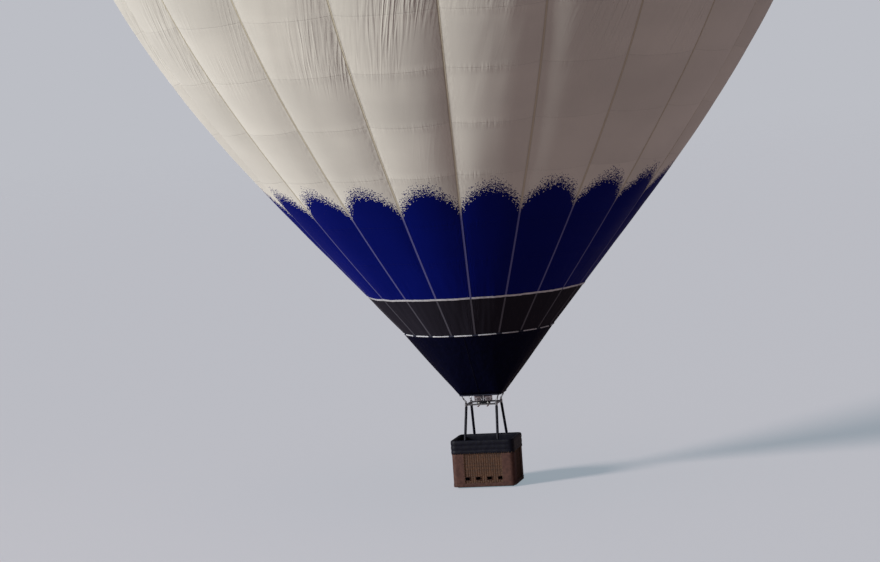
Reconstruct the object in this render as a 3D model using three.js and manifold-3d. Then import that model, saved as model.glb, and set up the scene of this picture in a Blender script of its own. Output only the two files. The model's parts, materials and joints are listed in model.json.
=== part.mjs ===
// Hot air balloon, standing upright as it hangs in flight.
// Units are millimetres, +Z is up, +X runs along the basket's long side and -Y is its front.
// Heights are counted from the underside of the basket's skids.
// The exported group's origin is the point where the air holds the balloon up.

import * as THREE from 'three';
import { mergeVertices } from 'three/addons/utils/BufferGeometryUtils.js';
import Module from 'manifold-3d';

const wasm = await Module();
wasm.setup();
const { Manifold } = wasm;

// Shared sizes
const seatGap = 0.3;
const liftHeight = 17000;

// Envelope: a natural balloon curve that starts as a cone and closes at the crown
const gores = 20;
const stepsPerGore = 2;
const goreAngle = (2 * Math.PI) / gores;
const aroundEnvelope = gores * stepsPerGore;
const firstAngle = goreAngle / 2 - goreAngle / stepsPerGore;
const coneApexHeight = 1880;
const coneHalfAngle = THREE.MathUtils.degToRad(41);
const curveFactor = 0.0008;
const curveStep = 10;
const mouthHeight = 4120;
const fabricWall = 10;
const goreDip = 0.02;
const dipRise = 6000;
const dipFade = 3500;
const ventRadius = 2340;

// Heights of the panel seams, counted from the ground
const bandTopHeight = 5120;
const blueSeamHeights = [5120, 6070, 7070];
const scallopSeamHeights = [7070, 8300];
const lowerSeamHeights = [8300, 9900, 12250];
const equatorSeamHeights = [12250, 14300, 16600, 18900, 21100];
const upperSeamHeights = [21100, 22800, 24200, 25250];
const crownSeamRadii = [4000, ventRadius];
const ventCurveRadii = [1300];

// Vent and parachute valve at the crown
const ventEdgeWidth = 60;
const ventEdgeDepth = 26;
const ventTapeWidth = 45;
const ventTapeDepth = 8;
const hubRadius = 190;
const hubHoleRadius = 105;
const hubDepth = 12;
const hubLift = 2;
const crownRingRadius = 150;
const crownRingBar = 14;
const valveOverlap = 320;

// Basket
const basketHalfX = 815;
const basketHalfY = 615;
const basketCorner = 110;
const wickerWall = 40;
const skidHeight = 40;
const skidWidth = 60;
const skidLength = 1480;
const skidRows = [-400, 0, 400];
const floorThickness = 18;
const floorClear = 0.9;
const rimHeight = 1250;
const rimWall = 20;
const rimOuterDrop = 350;
const rimInnerDrop = 230;
const baseBandTop = 130;
const baseBandWall = 12;
const cornerLeatherWall = 6;
const cornerLeatherReach = 210;
const footHoleWidth = 130;
const footHoleHeight = 90;
const footHoleCentre = 250;
const footHoleRows = [-435, -148, 148, 435];

// Gas cylinders in the basket's corners
const cylinderRadius = 150;
const cylinderHeight = 800;
const cylinderClear = 5;
const cylinderFootRadius = 125;
const cylinderBend = 60;
const cylinderCapRadius = 110;
const cylinderCapDrop = 8;
const collarInner = 92;
const collarOuter = 100;
const collarSink = 20;
const collarRise = 70;
const valveStemRadius = 22;
const valveStemSink = 10;
const valveStemRise = 44;
const handWheelRadius = 34;
const handWheelRise = 64;
const outletRadius = 12;
const outletLength = 62;
const outletHeight = 26;

// Load frame over the basket
const frameHalfX = 400;
const frameHalfY = 320;
const frameHeight = 2140;
const frameBar = 19;
const socketRadius = 32;
const socketBottom = 2100;
const socketTop = 2178;
const uprightRadius = 36;
const uprightFootX = 430;
const uprightFootY = 595;
const lugHoleHeight = 2215;
const lugHole = 14;
const lugRadius = 28;
const lugWall = 9;

// Gimbal and burner
const gimbalHalfX = 330;
const gimbalHalfY = 225;
const gimbalCorner = 70;
const gimbalBar = 12;
const pinRadius = 9;
const pinHole = 9.9;
const frameBossRadius = 21;
const gimbalBossRadius = 19;
const bossLength = 34;
const pinProud = 2;
const armWidth = 64;
const armHeight = 36;
const armClear = 8;
const armSink = 5;
const blockHalfX = 170;
const blockHalfY = 60;
const blockBottom = 2112;
const blockTop = 2186;
const burnerCentres = [-122, 122];
const canRadius = 115;
const canWall = 4;
const canBottom = 2205;
const canTop = 2570;
const stubRadius = 42;
const jetStemRadius = 14;
const jetStemTop = 40;
const jetRingRadius = 52;
const jetRingBottom = 46;
const jetRingTop = 62;
const jetConeRadius = 24;
const jetTipRadius = 20;
const jetTipTop = 74;
const coilRadius = 92;
const coilBar = 8;
const coilTurns = 4;
const coilFootShare = 0.06;
const coilFootHeight = 40;
const coilTopDrop = 22;

// Blast valves under the block: body, lever and grip as width, depth, height and place along Y
const valveBody = { width: 44, depth: 52, height: 46, y: -20 };
const valveLever = { width: 24, depth: 150, height: 14, y: -80 };
const valveGrip = { width: 34, depth: 46, height: 22, y: -150 };
const leverLift = 2;

// Links and flying wires between the load frame and the mouth
const wireRadius = 4;
const wiresPerCorner = gores / 4;
const linkHalfWidth = 24;
const linkLength = 90;
const linkBar = 6;
const linkSteps = 12;
const plateCurve = 5;
const eyeHole = 12;
const eyeRadius = 22;
const eyeWall = 9;
const eyeStem = 24;
const lugStem = 10;
const ferruleRadius = 17;
const ferruleLength = 46;
const ferruleStart = 16;
const ferruleProud = 6;
const mouthHemWidth = 46;
const mouthHemDepth = 30;

// Skirt between the burner and the mouth
const skirtClear = 24;
const skirtHemHeight = 2420;
const skirtRows = [0, 0.2, 0.55, 1];
const skirtHemDepth = 36;
const skirtHemWidth = 22;
const skirtHemProud = 6;

// Colours, roughness and metalness of each finish
const finishes = {
  whiteFabric: [0xc6ced4, 0.62, 0],
  paleBlueFabric: [0x7f96b4, 0.62, 0],
  blueFabric: [0x14264f, 0.6, 0],
  heatFabric: [0x3a3d42, 0.75, 0],
  navyFabric: [0x0d1530, 0.7, 0],
  whiteWebbing: [0xd8dade, 0.7, 0],
  wicker: [0x5a3418, 0.75, 0],
  hide: [0x8a6352, 0.7, 0],
  navyLeather: [0x10142a, 0.5, 0],
  plywood: [0xa57c4c, 0.6, 0],
  hardwood: [0x6b4a2b, 0.7, 0],
  brushedSteel: [0xb4b6b8, 0.32, 1],
  darkSteel: [0x4a4c50, 0.4, 1],
  brass: [0xb08d4a, 0.35, 1],
  jacket: [0x1c2233, 0.8, 0],
  redPlastic: [0x8c1a16, 0.45, 0],
};

function material(finish) {
  const [color, roughness, metalness] = finishes[finish];
  return new THREE.MeshStandardMaterial({ color, roughness, metalness });
}

// A closed mesh whose faces point in is turned inside out
function outward(geometry) {
  const position = geometry.attributes.position;
  const index = geometry.index.array;
  const corner = [0, 1, 2].map(() => new THREE.Vector3());
  let volume = 0;
  for (let i = 0; i < index.length; i += 3) {
    corner.forEach((point, k) => point.fromBufferAttribute(position, index[i + k]));
    volume += corner[0].dot(corner[1].clone().cross(corner[2]));
  }
  if (volume < 0) {
    for (let i = 0; i < index.length; i += 3) {
      [index[i], index[i + 1]] = [index[i + 1], index[i]];
    }
  }
  return geometry;
}

// Keeps only positions and merges the corners that faces share
function merged(geometry) {
  const bare = geometry.clone();
  bare.deleteAttribute('normal');
  bare.deleteAttribute('uv');
  return outward(mergeVertices(bare, 1e-3));
}

function toSolid(geometry) {
  const bare = merged(geometry);
  return new Manifold(new wasm.Mesh({
    numProp: 3,
    vertProperties: new Float32Array(bare.attributes.position.array),
    triVerts: new Uint32Array(bare.index.array),
  }));
}

function fromSolid(solid) {
  const mesh = solid.getMesh();
  const geometry = new THREE.BufferGeometry();
  geometry.setAttribute('position', new THREE.BufferAttribute(new Float32Array(mesh.vertProperties), 3));
  geometry.setIndex(new THREE.BufferAttribute(new Uint32Array(mesh.triVerts), 1));
  return geometry;
}

function joined(geometries) {
  return geometries.map(toSolid).reduce((whole, next) => whole.add(next));
}

// A turned ring whose every corner is placed by a rule: place(angle, radius, height, row)
function turned(profile, segments, startAngle, place) {
  const points = profile.map(([radius, height]) => new THREE.Vector2(radius, height));
  const geometry = new THREE.LatheGeometry(points, segments);
  const position = geometry.attributes.position;
  for (let i = 0; i < position.count; i += 1) {
    const row = i % profile.length;
    const step = Math.floor(i / profile.length) % segments;
    const angle = startAngle + (step * 2 * Math.PI) / segments;
    const [radius, height] = profile[row];
    position.setXYZ(i, ...place(angle, radius, height, row));
  }
  return outward(geometry);
}

const onCircle = (angle, radius, height) => [radius * Math.cos(angle), radius * Math.sin(angle), height];

function round(profile, segments = 24) {
  return turned(profile, segments, Math.PI / segments, onCircle);
}

// Which side of the middle a direction points to: -1, 0 or 1
function sideOf(share) {
  return Math.abs(share) < 1e-6 ? 0 : Math.sign(share);
}

// The same round profile, pulled apart into a rounded rectangle
function roundedRing(profile, halfX, halfY, segments) {
  const place = (angle, radius, height) => [
    sideOf(Math.cos(angle)) * halfX + radius * Math.cos(angle),
    sideOf(Math.sin(angle)) * halfY + radius * Math.sin(angle),
    height,
  ];
  return turned(profile, segments, Math.PI / segments, place);
}

function closedBox(innerRadius, outerRadius, bottom, top) {
  return [
    [innerRadius, bottom],
    [outerRadius, bottom],
    [outerRadius, top],
    [innerRadius, top],
    [innerRadius, bottom],
  ];
}

// A bar's round section with a flat facet at its foot, as a closed profile
function barSection(centreRadius, centreHeight, bar, sides) {
  const points = [];
  for (let i = 0; i <= sides; i += 1) {
    const turn = (((i % sides) + 0.5) * 2 * Math.PI) / sides - Math.PI / 2;
    points.push([centreRadius + bar * Math.cos(turn), centreHeight + bar * Math.sin(turn)]);
  }
  return points;
}

function box(sizeX, sizeY, sizeZ, x, y, z) {
  return new THREE.BoxGeometry(sizeX, sizeY, sizeZ).translate(x, y, z);
}

// A round rod between two points
function rod(from, to, radius, sides) {
  const length = from.distanceTo(to);
  const geometry = new THREE.CylinderGeometry(radius, radius, length, sides);
  const turn = new THREE.Quaternion().setFromUnitVectors(
    new THREE.Vector3(0, 1, 0),
    to.clone().sub(from).normalize(),
  );
  const middle = from.clone().add(to).multiplyScalar(0.5);
  return geometry.applyQuaternion(turn).translate(middle.x, middle.y, middle.z);
}

function at(x, y, z) {
  return new THREE.Vector3(x, y, z);
}

const corners = [
  { number: 1, signX: -1, signY: -1 },
  { number: 2, signX: 1, signY: -1 },
  { number: 3, signX: 1, signY: 1 },
  { number: 4, signX: -1, signY: 1 },
];

const balloon = new THREE.Group();
const standing = new THREE.Group();
standing.position.z = -liftHeight;
balloon.add(standing);

function addPiece(name, geometry, finish) {
  const mesh = new THREE.Mesh(geometry, material(finish));
  mesh.name = name;
  standing.add(mesh);
  return mesh;
}

// The envelope's curve, walked from the mouth to the crown in short steps
function walkCurve() {
  const metre = 1000;
  let radius = (mouthHeight - coneApexHeight) * Math.tan(coneHalfAngle);
  let height = mouthHeight;
  let lean = coneHalfAngle;
  const points = [];
  while (radius > 0 && lean > -Math.PI) {
    points.push({ radius, height, lean });
    const bend = (curveFactor * (radius / metre) * ((height - mouthHeight) / metre)) / metre;
    radius += Math.sin(lean) * curveStep;
    height += Math.cos(lean) * curveStep;
    lean -= bend * curveStep;
  }
  return points;
}

const curve = walkCurve();
const equator = curve.reduce((widest, point) => (point.radius > widest.radius ? point : widest));

function stationAtHeight(height) {
  return curve.find((point) => point.height >= height);
}

function stationAtRadius(radius) {
  return curve.find((point) => point.height > equator.height && point.radius <= radius);
}

const mouthRadius = curve[0].radius;
const crownStations = crownSeamRadii.map(stationAtRadius);
const ventStations = [stationAtRadius(ventRadius), ...ventCurveRadii.map(stationAtRadius)];
const crownHeight = curve[curve.length - 1].height;

// Sinks a point below the curve's outer face, square to it
function below(station, depth) {
  return [
    station.radius - depth * Math.cos(station.lean),
    station.height + depth * Math.sin(station.lean),
  ];
}

// Each gore stands out between its two load tapes, most at the equator and not at all at the mouth
function dipAt(station) {
  const rise = THREE.MathUtils.smoothstep(station.height, mouthHeight, mouthHeight + dipRise);
  const fade = station.height > equator.height
    ? THREE.MathUtils.smoothstep(station.radius, crownSeamRadii[0], crownSeamRadii[0] + dipFade)
    : 1;
  return goreDip * station.radius * rise * fade;
}

// 0 in the middle of a gore, 1 at the load tapes on its two sides
function acrossGore(angle) {
  const turn = angle / goreAngle;
  return 2 * Math.abs(turn - Math.round(turn));
}

// One ring of fabric between two seams
function fabricRing(name, stations, finish) {
  const lower = stations[0];
  const shift = lower.height > mouthHeight ? seatGap : 0;
  const start = {
    ...lower,
    radius: lower.radius + shift * Math.sin(lower.lean),
    height: lower.height + shift * Math.cos(lower.lean),
  };
  const rows = [start, ...stations.slice(1)];
  const outer = rows.map((station) => below(station, 0));
  const inner = rows.map((station) => below(station, fabricWall));
  if (lower.height === mouthHeight) {
    inner[0] = [lower.radius - fabricWall / Math.cos(lower.lean), lower.height];
  }
  const profile = [...outer, ...inner.reverse(), outer[0]];
  const stationOfRow = [...rows, ...rows.slice().reverse(), rows[0]];
  const place = (angle, radius, height, row) => {
    const station = stationOfRow[row];
    const sink = dipAt(station) * acrossGore(angle) ** 2;
    const sunkRadius = radius - sink * Math.cos(station.lean);
    return onCircle(angle, sunkRadius, height + sink * Math.sin(station.lean));
  };
  addPiece(name, turned(profile, aroundEnvelope, firstAngle, place), finish);
}

function addEnvelope() {
  const rings = [
    ['heat_resistant_band', [mouthHeight, bandTopHeight], 'heatFabric'],
    ['blue_band', blueSeamHeights, 'blueFabric'],
    ['scallop_band', scallopSeamHeights, 'paleBlueFabric'],
    ['lower_white_band', lowerSeamHeights, 'whiteFabric'],
    ['equator_band', equatorSeamHeights, 'whiteFabric'],
    ['upper_white_band', upperSeamHeights, 'whiteFabric'],
  ];
  rings.forEach(([name, heights, finish]) => {
    fabricRing(name, heights.map(stationAtHeight), finish);
  });
  const upperEdge = stationAtHeight(upperSeamHeights[upperSeamHeights.length - 1]);
  fabricRing('crown_band', [upperEdge, ...crownStations], 'whiteFabric');
}

// Webbing over the vent: a thick edge ring, one tape to each gore seam and a hub
function addVentTapes() {
  const edge = ventStations[0];
  const along = (distance) => ({
    ...edge,
    radius: edge.radius + distance * Math.sin(edge.lean),
    height: edge.height + distance * Math.cos(edge.lean),
  });
  const edgeStart = along(seatGap);
  const edgeEnd = along(ventEdgeWidth);
  const edgeProfile = [
    below(edgeStart, 0),
    below(edgeEnd, 0),
    below(edgeEnd, ventEdgeDepth),
    below(edgeStart, ventEdgeDepth),
    below(edgeStart, 0),
  ];
  const ring = turned(edgeProfile, aroundEnvelope, firstAngle, onCircle);
  const tapeStations = [edgeEnd, ...ventStations.slice(1)];
  const top = tapeStations.map((station) => below(station, 0));
  const under = tapeStations.map((station) => below(station, ventTapeDepth));
  top[0] = below(along(ventEdgeWidth / 2), 0);
  under[0] = below(along(ventEdgeWidth / 2), ventTapeDepth);
  top.push([hubRadius / 2 + hubHoleRadius / 2, crownHeight]);
  under.push([hubRadius / 2 + hubHoleRadius / 2, crownHeight - ventTapeDepth]);
  const outline = [...top, ...under.reverse()].map(([radius, height]) => new THREE.Vector2(radius, height));
  const hub = closedBox(hubHoleRadius, hubRadius, crownHeight - hubDepth, crownHeight + hubLift);
  const pieces = [ring, round(hub, gores)];
  for (let k = 0; k < gores; k += 1) {
    const tape = new THREE.ExtrudeGeometry(new THREE.Shape(outline), {
      depth: ventTapeWidth,
      bevelEnabled: false,
      steps: 1,
    });
    tape.translate(0, 0, -ventTapeWidth / 2).rotateX(Math.PI / 2);
    pieces.push(tape.rotateZ(goreAngle * (k + 0.5)));
  }
  addPiece('vent_tapes', fromSolid(joined(pieces)), 'whiteWebbing');
}

function addCrownRing() {
  const seat = crownHeight + hubLift + seatGap;
  const lowestFacet = crownRingBar * Math.cos(Math.PI / 6);
  const section = barSection(crownRingRadius, seat + lowestFacet, crownRingBar, 6);
  addPiece('crown_ring', round(section, gores), 'brushedSteel');
}

// A disc of fabric that seats under the vent's edge ring
function addParachuteValve() {
  const edge = ventStations[0];
  const rim = {
    ...edge,
    radius: edge.radius - valveOverlap * Math.sin(edge.lean),
    height: edge.height - valveOverlap * Math.cos(edge.lean),
  };
  const top = { radius: 0, height: crownHeight, lean: -Math.PI / 2 };
  const rows = [rim, ...ventStations, top];
  const depth = ventEdgeDepth + seatGap;
  const upper = rows.map((station) => below(station, depth));
  const lower = rows.map((station) => below(station, depth + fabricWall));
  upper[upper.length - 1][0] = 0;
  lower[lower.length - 1][0] = 0;
  const profile = [...upper.reverse(), ...lower];
  addPiece('parachute_valve', turned(profile, aroundEnvelope, firstAngle, onCircle), 'blueFabric');
}

function addMouthHem() {
  const inner = mouthRadius - mouthHemWidth / 2 - fabricWall / 2;
  const profile = closedBox(
    inner,
    inner + mouthHemWidth,
    mouthHeight - seatGap - mouthHemDepth,
    mouthHeight - seatGap,
  );
  addPiece('mouth_hem', turned(profile, aroundEnvelope, firstAngle, onCircle), 'whiteWebbing');
}

// How far a taut link's bar lies off the middle of the hole that it pulls on
function slackIn(hole) {
  return hole * Math.cos(Math.PI / (2 * plateCurve)) - linkBar - seatGap;
}

// Where a corner's link, eye and wires lie: they lean outward towards their tapes
function pullOf({ signX, signY }) {
  const lugHoleAt = at(signX * frameHalfX, signY * frameHalfY, lugHoleHeight);
  const middleTape = Math.PI / 4;
  const target = at(
    signX * mouthRadius * Math.cos(middleTape),
    signY * mouthRadius * Math.sin(middleTape),
    mouthHeight,
  );
  const direction = target.sub(lugHoleAt).normalize();
  const sideways = at(-direction.y, direction.x, 0).normalize();
  const linkReach = linkLength / 2 - linkHalfWidth + linkHalfWidth * Math.cos(Math.PI / linkSteps);
  const linkAt = lugHoleAt.clone().addScaledVector(direction, slackIn(lugHole) + linkReach);
  const eyeAt = linkAt.clone().addScaledVector(direction, linkReach + slackIn(eyeHole));
  const fanAt = eyeAt.clone().addScaledVector(direction, ferruleLength);
  return { lugHoleAt, direction, sideways, linkAt, eyeAt, fanAt };
}

// Turns a shape drawn flat, with Y as its long axis, so that Y follows the pull and Z goes sideways
function alongPull(geometry, origin, up, side) {
  const across = up.clone().cross(side);
  const turn = new THREE.Matrix4().makeBasis(across, up, side);
  return geometry.applyMatrix4(turn).translate(origin.x, origin.y, origin.z);
}

// A flat eye with a hole, its stem reaching down or up the pull
function eyePlate(radius, hole, wall, stem) {
  const shape = new THREE.Shape();
  shape.absarc(0, 0, radius, 0, Math.PI, false);
  shape.lineTo(-radius, -stem);
  shape.lineTo(radius, -stem);
  const opening = new THREE.Path();
  opening.absarc(0, 0, hole, 0, 2 * Math.PI, true);
  shape.holes.push(opening);
  const geometry = new THREE.ExtrudeGeometry(shape, {
    depth: wall,
    bevelEnabled: false,
    steps: 1,
    curveSegments: plateCurve,
  });
  return geometry.translate(0, 0, -wall / 2);
}

function addFlyingWires() {
  const hemRoom = turned(
    closedBox(
      mouthRadius - mouthHemWidth,
      mouthRadius + mouthHemWidth,
      mouthHeight - 2 * seatGap - mouthHemDepth,
      mouthHeight + mouthHemDepth,
    ),
    aroundEnvelope,
    firstAngle,
    onCircle,
  );
  corners.forEach((corner) => {
    const { direction, sideways, eyeAt, fanAt } = pullOf(corner);
    const plate = eyePlate(eyeRadius, eyeHole, eyeWall, eyeStem);
    const eye = alongPull(plate, eyeAt, direction.clone().negate(), sideways);
    const ferruleFoot = eyeAt.clone().addScaledVector(direction, ferruleStart);
    const ferruleHead = fanAt.clone().addScaledVector(direction, ferruleProud);
    const pieces = [eye, rod(ferruleFoot, ferruleHead, ferruleRadius, 6)];
    for (let k = 0; k < wiresPerCorner; k += 1) {
      const turn = goreAngle * (k + 0.5);
      const tapeEnd = at(
        corner.signX * mouthRadius * Math.cos(turn),
        corner.signY * mouthRadius * Math.sin(turn),
        mouthHeight,
      );
      pieces.push(rod(fanAt, tapeEnd, wireRadius, 5));
    }
    const fan = joined(pieces).subtract(toSolid(hemRoom));
    addPiece(`flying_wires_${corner.number}`, fromSolid(fan), 'darkSteel');
  });
}

function addLinks() {
  corners.forEach((corner) => {
    const { direction, sideways, linkAt } = pullOf(corner);
    const section = barSection(linkHalfWidth, 0, linkBar, 6);
    const ring = roundedRing(section, 0, linkLength / 2 - linkHalfWidth, linkSteps);
    alongPull(ring, linkAt, direction, sideways.clone().cross(direction));
    addPiece(`carabiner_${corner.number}`, ring, 'brushedSteel');
  });
}

// The skirt wraps the flying wires: four corner arcs that grow into one circle at the mouth
function skirtPlace(height) {
  const { fanAt } = pullOf(corners[2]);
  const share = (height - fanAt.z) / (mouthHeight - fanAt.z);
  return {
    cornerX: (1 - share) * fanAt.x,
    cornerY: (1 - share) * fanAt.y,
    radius: share * mouthRadius,
  };
}

function skirtRing(rows) {
  const profile = [...rows, rows[0]].map(({ out, height }) => [out, height]);
  const place = (angle, out, height) => {
    const { cornerX, cornerY, radius } = skirtPlace(height);
    return [
      sideOf(Math.cos(angle)) * cornerX + (radius + out) * Math.cos(angle),
      sideOf(Math.sin(angle)) * cornerY + (radius + out) * Math.sin(angle),
      height,
    ];
  };
  return turned(profile, aroundEnvelope, firstAngle, place);
}

// The skirt is sewn from four panels, one round each corner, whose seams are in the middle of the sides
function addSkirt() {
  const bottom = skirtHemHeight + seatGap;
  const top = mouthHeight - mouthHemDepth - 2 * seatGap;
  const heights = skirtRows.map((share) => bottom + share * (top - bottom));
  const outer = heights.map((height) => ({ out: skirtClear, height }));
  const inner = heights.map((height) => ({ out: skirtClear - fabricWall, height }));
  const whole = toSolid(skirtRing([...outer, ...inner.reverse()]));
  const side = 2 * mouthRadius;
  const middle = (side + seatGap) / 2;
  corners.forEach((corner) => {
    const quarter = box(side, side, side, corner.signX * middle, corner.signY * middle, (bottom + top) / 2);
    addPiece(`skirt_panel_${corner.number}`, fromSolid(whole.intersect(toSolid(quarter))), 'navyFabric');
  });
  const hemOut = skirtClear + skirtHemProud;
  const hemRows = [
    { out: hemOut, height: skirtHemHeight - skirtHemDepth },
    { out: hemOut, height: skirtHemHeight },
    { out: hemOut - skirtHemWidth, height: skirtHemHeight },
    { out: hemOut - skirtHemWidth, height: skirtHemHeight - skirtHemDepth },
  ];
  addPiece('skirt_hem', skirtRing(hemRows), 'navyFabric');
}

// Frame around the burner: four bars, corner sockets, lugs for the links and bosses for the gimbal
function addLoadFrame() {
  const pieces = [];
  [-1, 1].forEach((side) => {
    const farX = side * frameHalfX;
    const farY = side * frameHalfY;
    pieces.push(rod(at(-frameHalfX, farY, frameHeight), at(frameHalfX, farY, frameHeight), frameBar, 8));
    pieces.push(rod(at(farX, -frameHalfY, frameHeight), at(farX, frameHalfY, frameHeight), frameBar, 8));
    const bossFrom = at(side * (frameHalfX - bossLength), 0, frameHeight);
    pieces.push(rod(bossFrom, at(farX, 0, frameHeight), frameBossRadius, 12));
  });
  corners.forEach((corner) => {
    const { lugHoleAt, sideways } = pullOf(corner);
    const socketHeight = socketTop - socketBottom;
    const socket = new THREE.CylinderGeometry(socketRadius, socketRadius, socketHeight, 12);
    socket.rotateX(Math.PI / 2);
    socket.translate(lugHoleAt.x, lugHoleAt.y, socketBottom + socketHeight / 2);
    pieces.push(socket);
    const stem = lugHoleHeight - socketTop + lugStem;
    pieces.push(alongPull(eyePlate(lugRadius, lugHole, lugWall, stem), lugHoleAt, at(0, 0, 1), sideways));
  });
  let frame = joined(pieces);
  [-1, 1].forEach((side) => {
    const from = at(side * (frameHalfX - bossLength - armSink), 0, frameHeight);
    const to = at(side * (frameHalfX - frameBar / 2), 0, frameHeight);
    frame = frame.subtract(toSolid(rod(from, to, pinHole, 12)));
  });
  addPiece('load_frame', fromSolid(frame), 'brushedSteel');
}

function addUprights() {
  corners.forEach(({ number, signX, signY }) => {
    const bottom = rimHeight + seatGap;
    const top = socketBottom - seatGap;
    const length = top - bottom;
    const cover = new THREE.CylinderGeometry(uprightRadius, uprightRadius, length, 12).rotateX(Math.PI / 2);
    const position = cover.attributes.position;
    for (let i = 0; i < position.count; i += 1) {
      const rise = position.getZ(i) / length + 0.5;
      const x = signX * THREE.MathUtils.lerp(uprightFootX, frameHalfX, rise);
      const y = signY * THREE.MathUtils.lerp(uprightFootY, frameHalfY, rise);
      position.setXYZ(i, position.getX(i) + x, position.getY(i) + y, bottom + rise * length);
    }
    addPiece(`upright_cover_${number}`, cover, 'navyLeather');
  });
}

// Gimbal ring: pins out to the load frame along X, bosses for the burner's pins along Y
function addGimbalRing() {
  const section = barSection(gimbalCorner, frameHeight, gimbalBar, 6);
  const pieces = [roundedRing(section, gimbalHalfX - gimbalCorner, gimbalHalfY - gimbalCorner, 16)];
  [-1, 1].forEach((side) => {
    const pinEnd = frameHalfX - frameBar / 2 - seatGap;
    const pinFrom = at(side * gimbalHalfX, 0, frameHeight);
    pieces.push(rod(pinFrom, at(side * pinEnd, 0, frameHeight), pinRadius, 12));
    const bossFrom = at(0, side * (gimbalHalfY - bossLength / 2), frameHeight);
    const bossTo = at(0, side * (gimbalHalfY + bossLength / 2), frameHeight);
    pieces.push(rod(bossFrom, bossTo, gimbalBossRadius, 12));
  });
  let ring = joined(pieces);
  const reach = gimbalHalfY + bossLength;
  ring = ring.subtract(toSolid(rod(at(0, -reach, frameHeight), at(0, reach, frameHeight), pinHole, 12)));
  addPiece('gimbal_ring', fromSolid(ring), 'brushedSteel');
}

// Valve block with two arms whose pins turn in the gimbal ring
function addBurnerBlock() {
  const height = blockTop - blockBottom;
  const middle = blockBottom + height / 2;
  const pieces = [box(2 * blockHalfX, 2 * blockHalfY, height, 0, 0, middle)];
  [-1, 1].forEach((side) => {
    const armEnd = gimbalHalfY - bossLength / 2 - armClear;
    const armLength = armEnd - blockHalfY + armSink;
    pieces.push(box(armWidth, armLength, armHeight, 0, side * (armEnd - armLength / 2), frameHeight));
    const pinFrom = at(0, side * (armEnd - armSink), frameHeight);
    const pinTo = at(0, side * (gimbalHalfY + bossLength / 2 + pinProud), frameHeight);
    pieces.push(rod(pinFrom, pinTo, pinRadius, 12));
  });
  addPiece('burner_block', fromSolid(joined(pieces)), 'darkSteel');
}

// Each can stands on its own stub, open at the top, with its coil and jet ring inside
function addBurnerCans() {
  burnerCentres.forEach((centreX, i) => {
    const number = i + 1;
    const floorTop = canBottom + canWall;
    const can = round([
      [0, blockTop + seatGap],
      [stubRadius, blockTop + seatGap],
      [stubRadius, canBottom],
      [canRadius, canBottom],
      [canRadius, canTop],
      [canRadius - canWall, canTop],
      [canRadius - canWall, floorTop],
      [0, floorTop],
    ]);
    addPiece(`burner_can_${number}`, can.translate(centreX, 0, 0), 'brushedSteel');
    const jet = round([
      [0, floorTop + seatGap],
      [jetStemRadius, floorTop + seatGap],
      [jetStemRadius, floorTop + jetStemTop],
      [jetRingRadius, floorTop + jetRingBottom],
      [jetRingRadius, floorTop + jetRingTop],
      [jetConeRadius, floorTop + jetRingTop],
      [jetTipRadius, floorTop + jetTipTop],
      [0, floorTop + jetTipTop],
    ], 12);
    addPiece(`jet_ring_${number}`, jet.translate(centreX, 0, 0), 'brass');
    const coil = coilGeometry(floorTop + seatGap);
    addPiece(`burner_coil_${number}`, coil.translate(centreX, 0, 0), 'darkSteel');
  });
}

class CoilPath extends THREE.Curve {
  constructor(bottom) {
    super();
    this.bottom = bottom;
  }

  getPoint(share, target = new THREE.Vector3()) {
    const rise = canTop - coilTopDrop - this.bottom - coilFootHeight;
    if (share < coilFootShare) {
      return target.set(coilRadius, 0, this.bottom + (share / coilFootShare) * coilFootHeight);
    }
    const along = (share - coilFootShare) / (1 - coilFootShare);
    const turn = along * coilTurns * 2 * Math.PI;
    const height = this.bottom + coilFootHeight + along * rise;
    return target.set(coilRadius * Math.cos(turn), coilRadius * Math.sin(turn), height);
  }
}

function coilGeometry(bottom) {
  const section = new THREE.Shape();
  const sides = 5;
  for (let i = 0; i < sides; i += 1) {
    const turn = (i * 2 * Math.PI) / sides;
    section.lineTo(coilBar * Math.cos(turn), coilBar * Math.sin(turn));
  }
  return new THREE.ExtrudeGeometry(section, {
    steps: 9 * coilTurns + 2,
    extrudePath: new CoilPath(bottom),
  });
}

// Blast valve levers hang under the block
function addValveLevers() {
  burnerCentres.forEach((centreX, i) => {
    const bodyTop = blockBottom - seatGap;
    const leverHeight = bodyTop - valveBody.height + leverLift;
    const block = ({ width, depth, height, y }, z) => box(width, depth, height, centreX, y, z);
    const body = block(valveBody, bodyTop - valveBody.height / 2);
    const valve = joined([body, block(valveLever, leverHeight), block(valveGrip, leverHeight)]);
    addPiece(`blast_valve_${i + 1}`, fromSolid(valve), 'redPlastic');
  });
}

function addBasketWall() {
  const outer = basketCorner;
  const profile = closedBox(outer - wickerWall, outer, skidHeight + seatGap, rimHeight - rimWall - seatGap);
  const wall = roundedRing(profile, basketHalfX - basketCorner, basketHalfY - basketCorner, 24);
  let solid = toSolid(wall);
  footHoleRows.forEach((x) => {
    const hole = box(footHoleWidth, 4 * basketHalfY, footHoleHeight, x, 0, footHoleCentre);
    solid = solid.subtract(toSolid(hole));
  });
  addPiece('basket_wall', fromSolid(solid), 'wicker');
}

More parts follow.
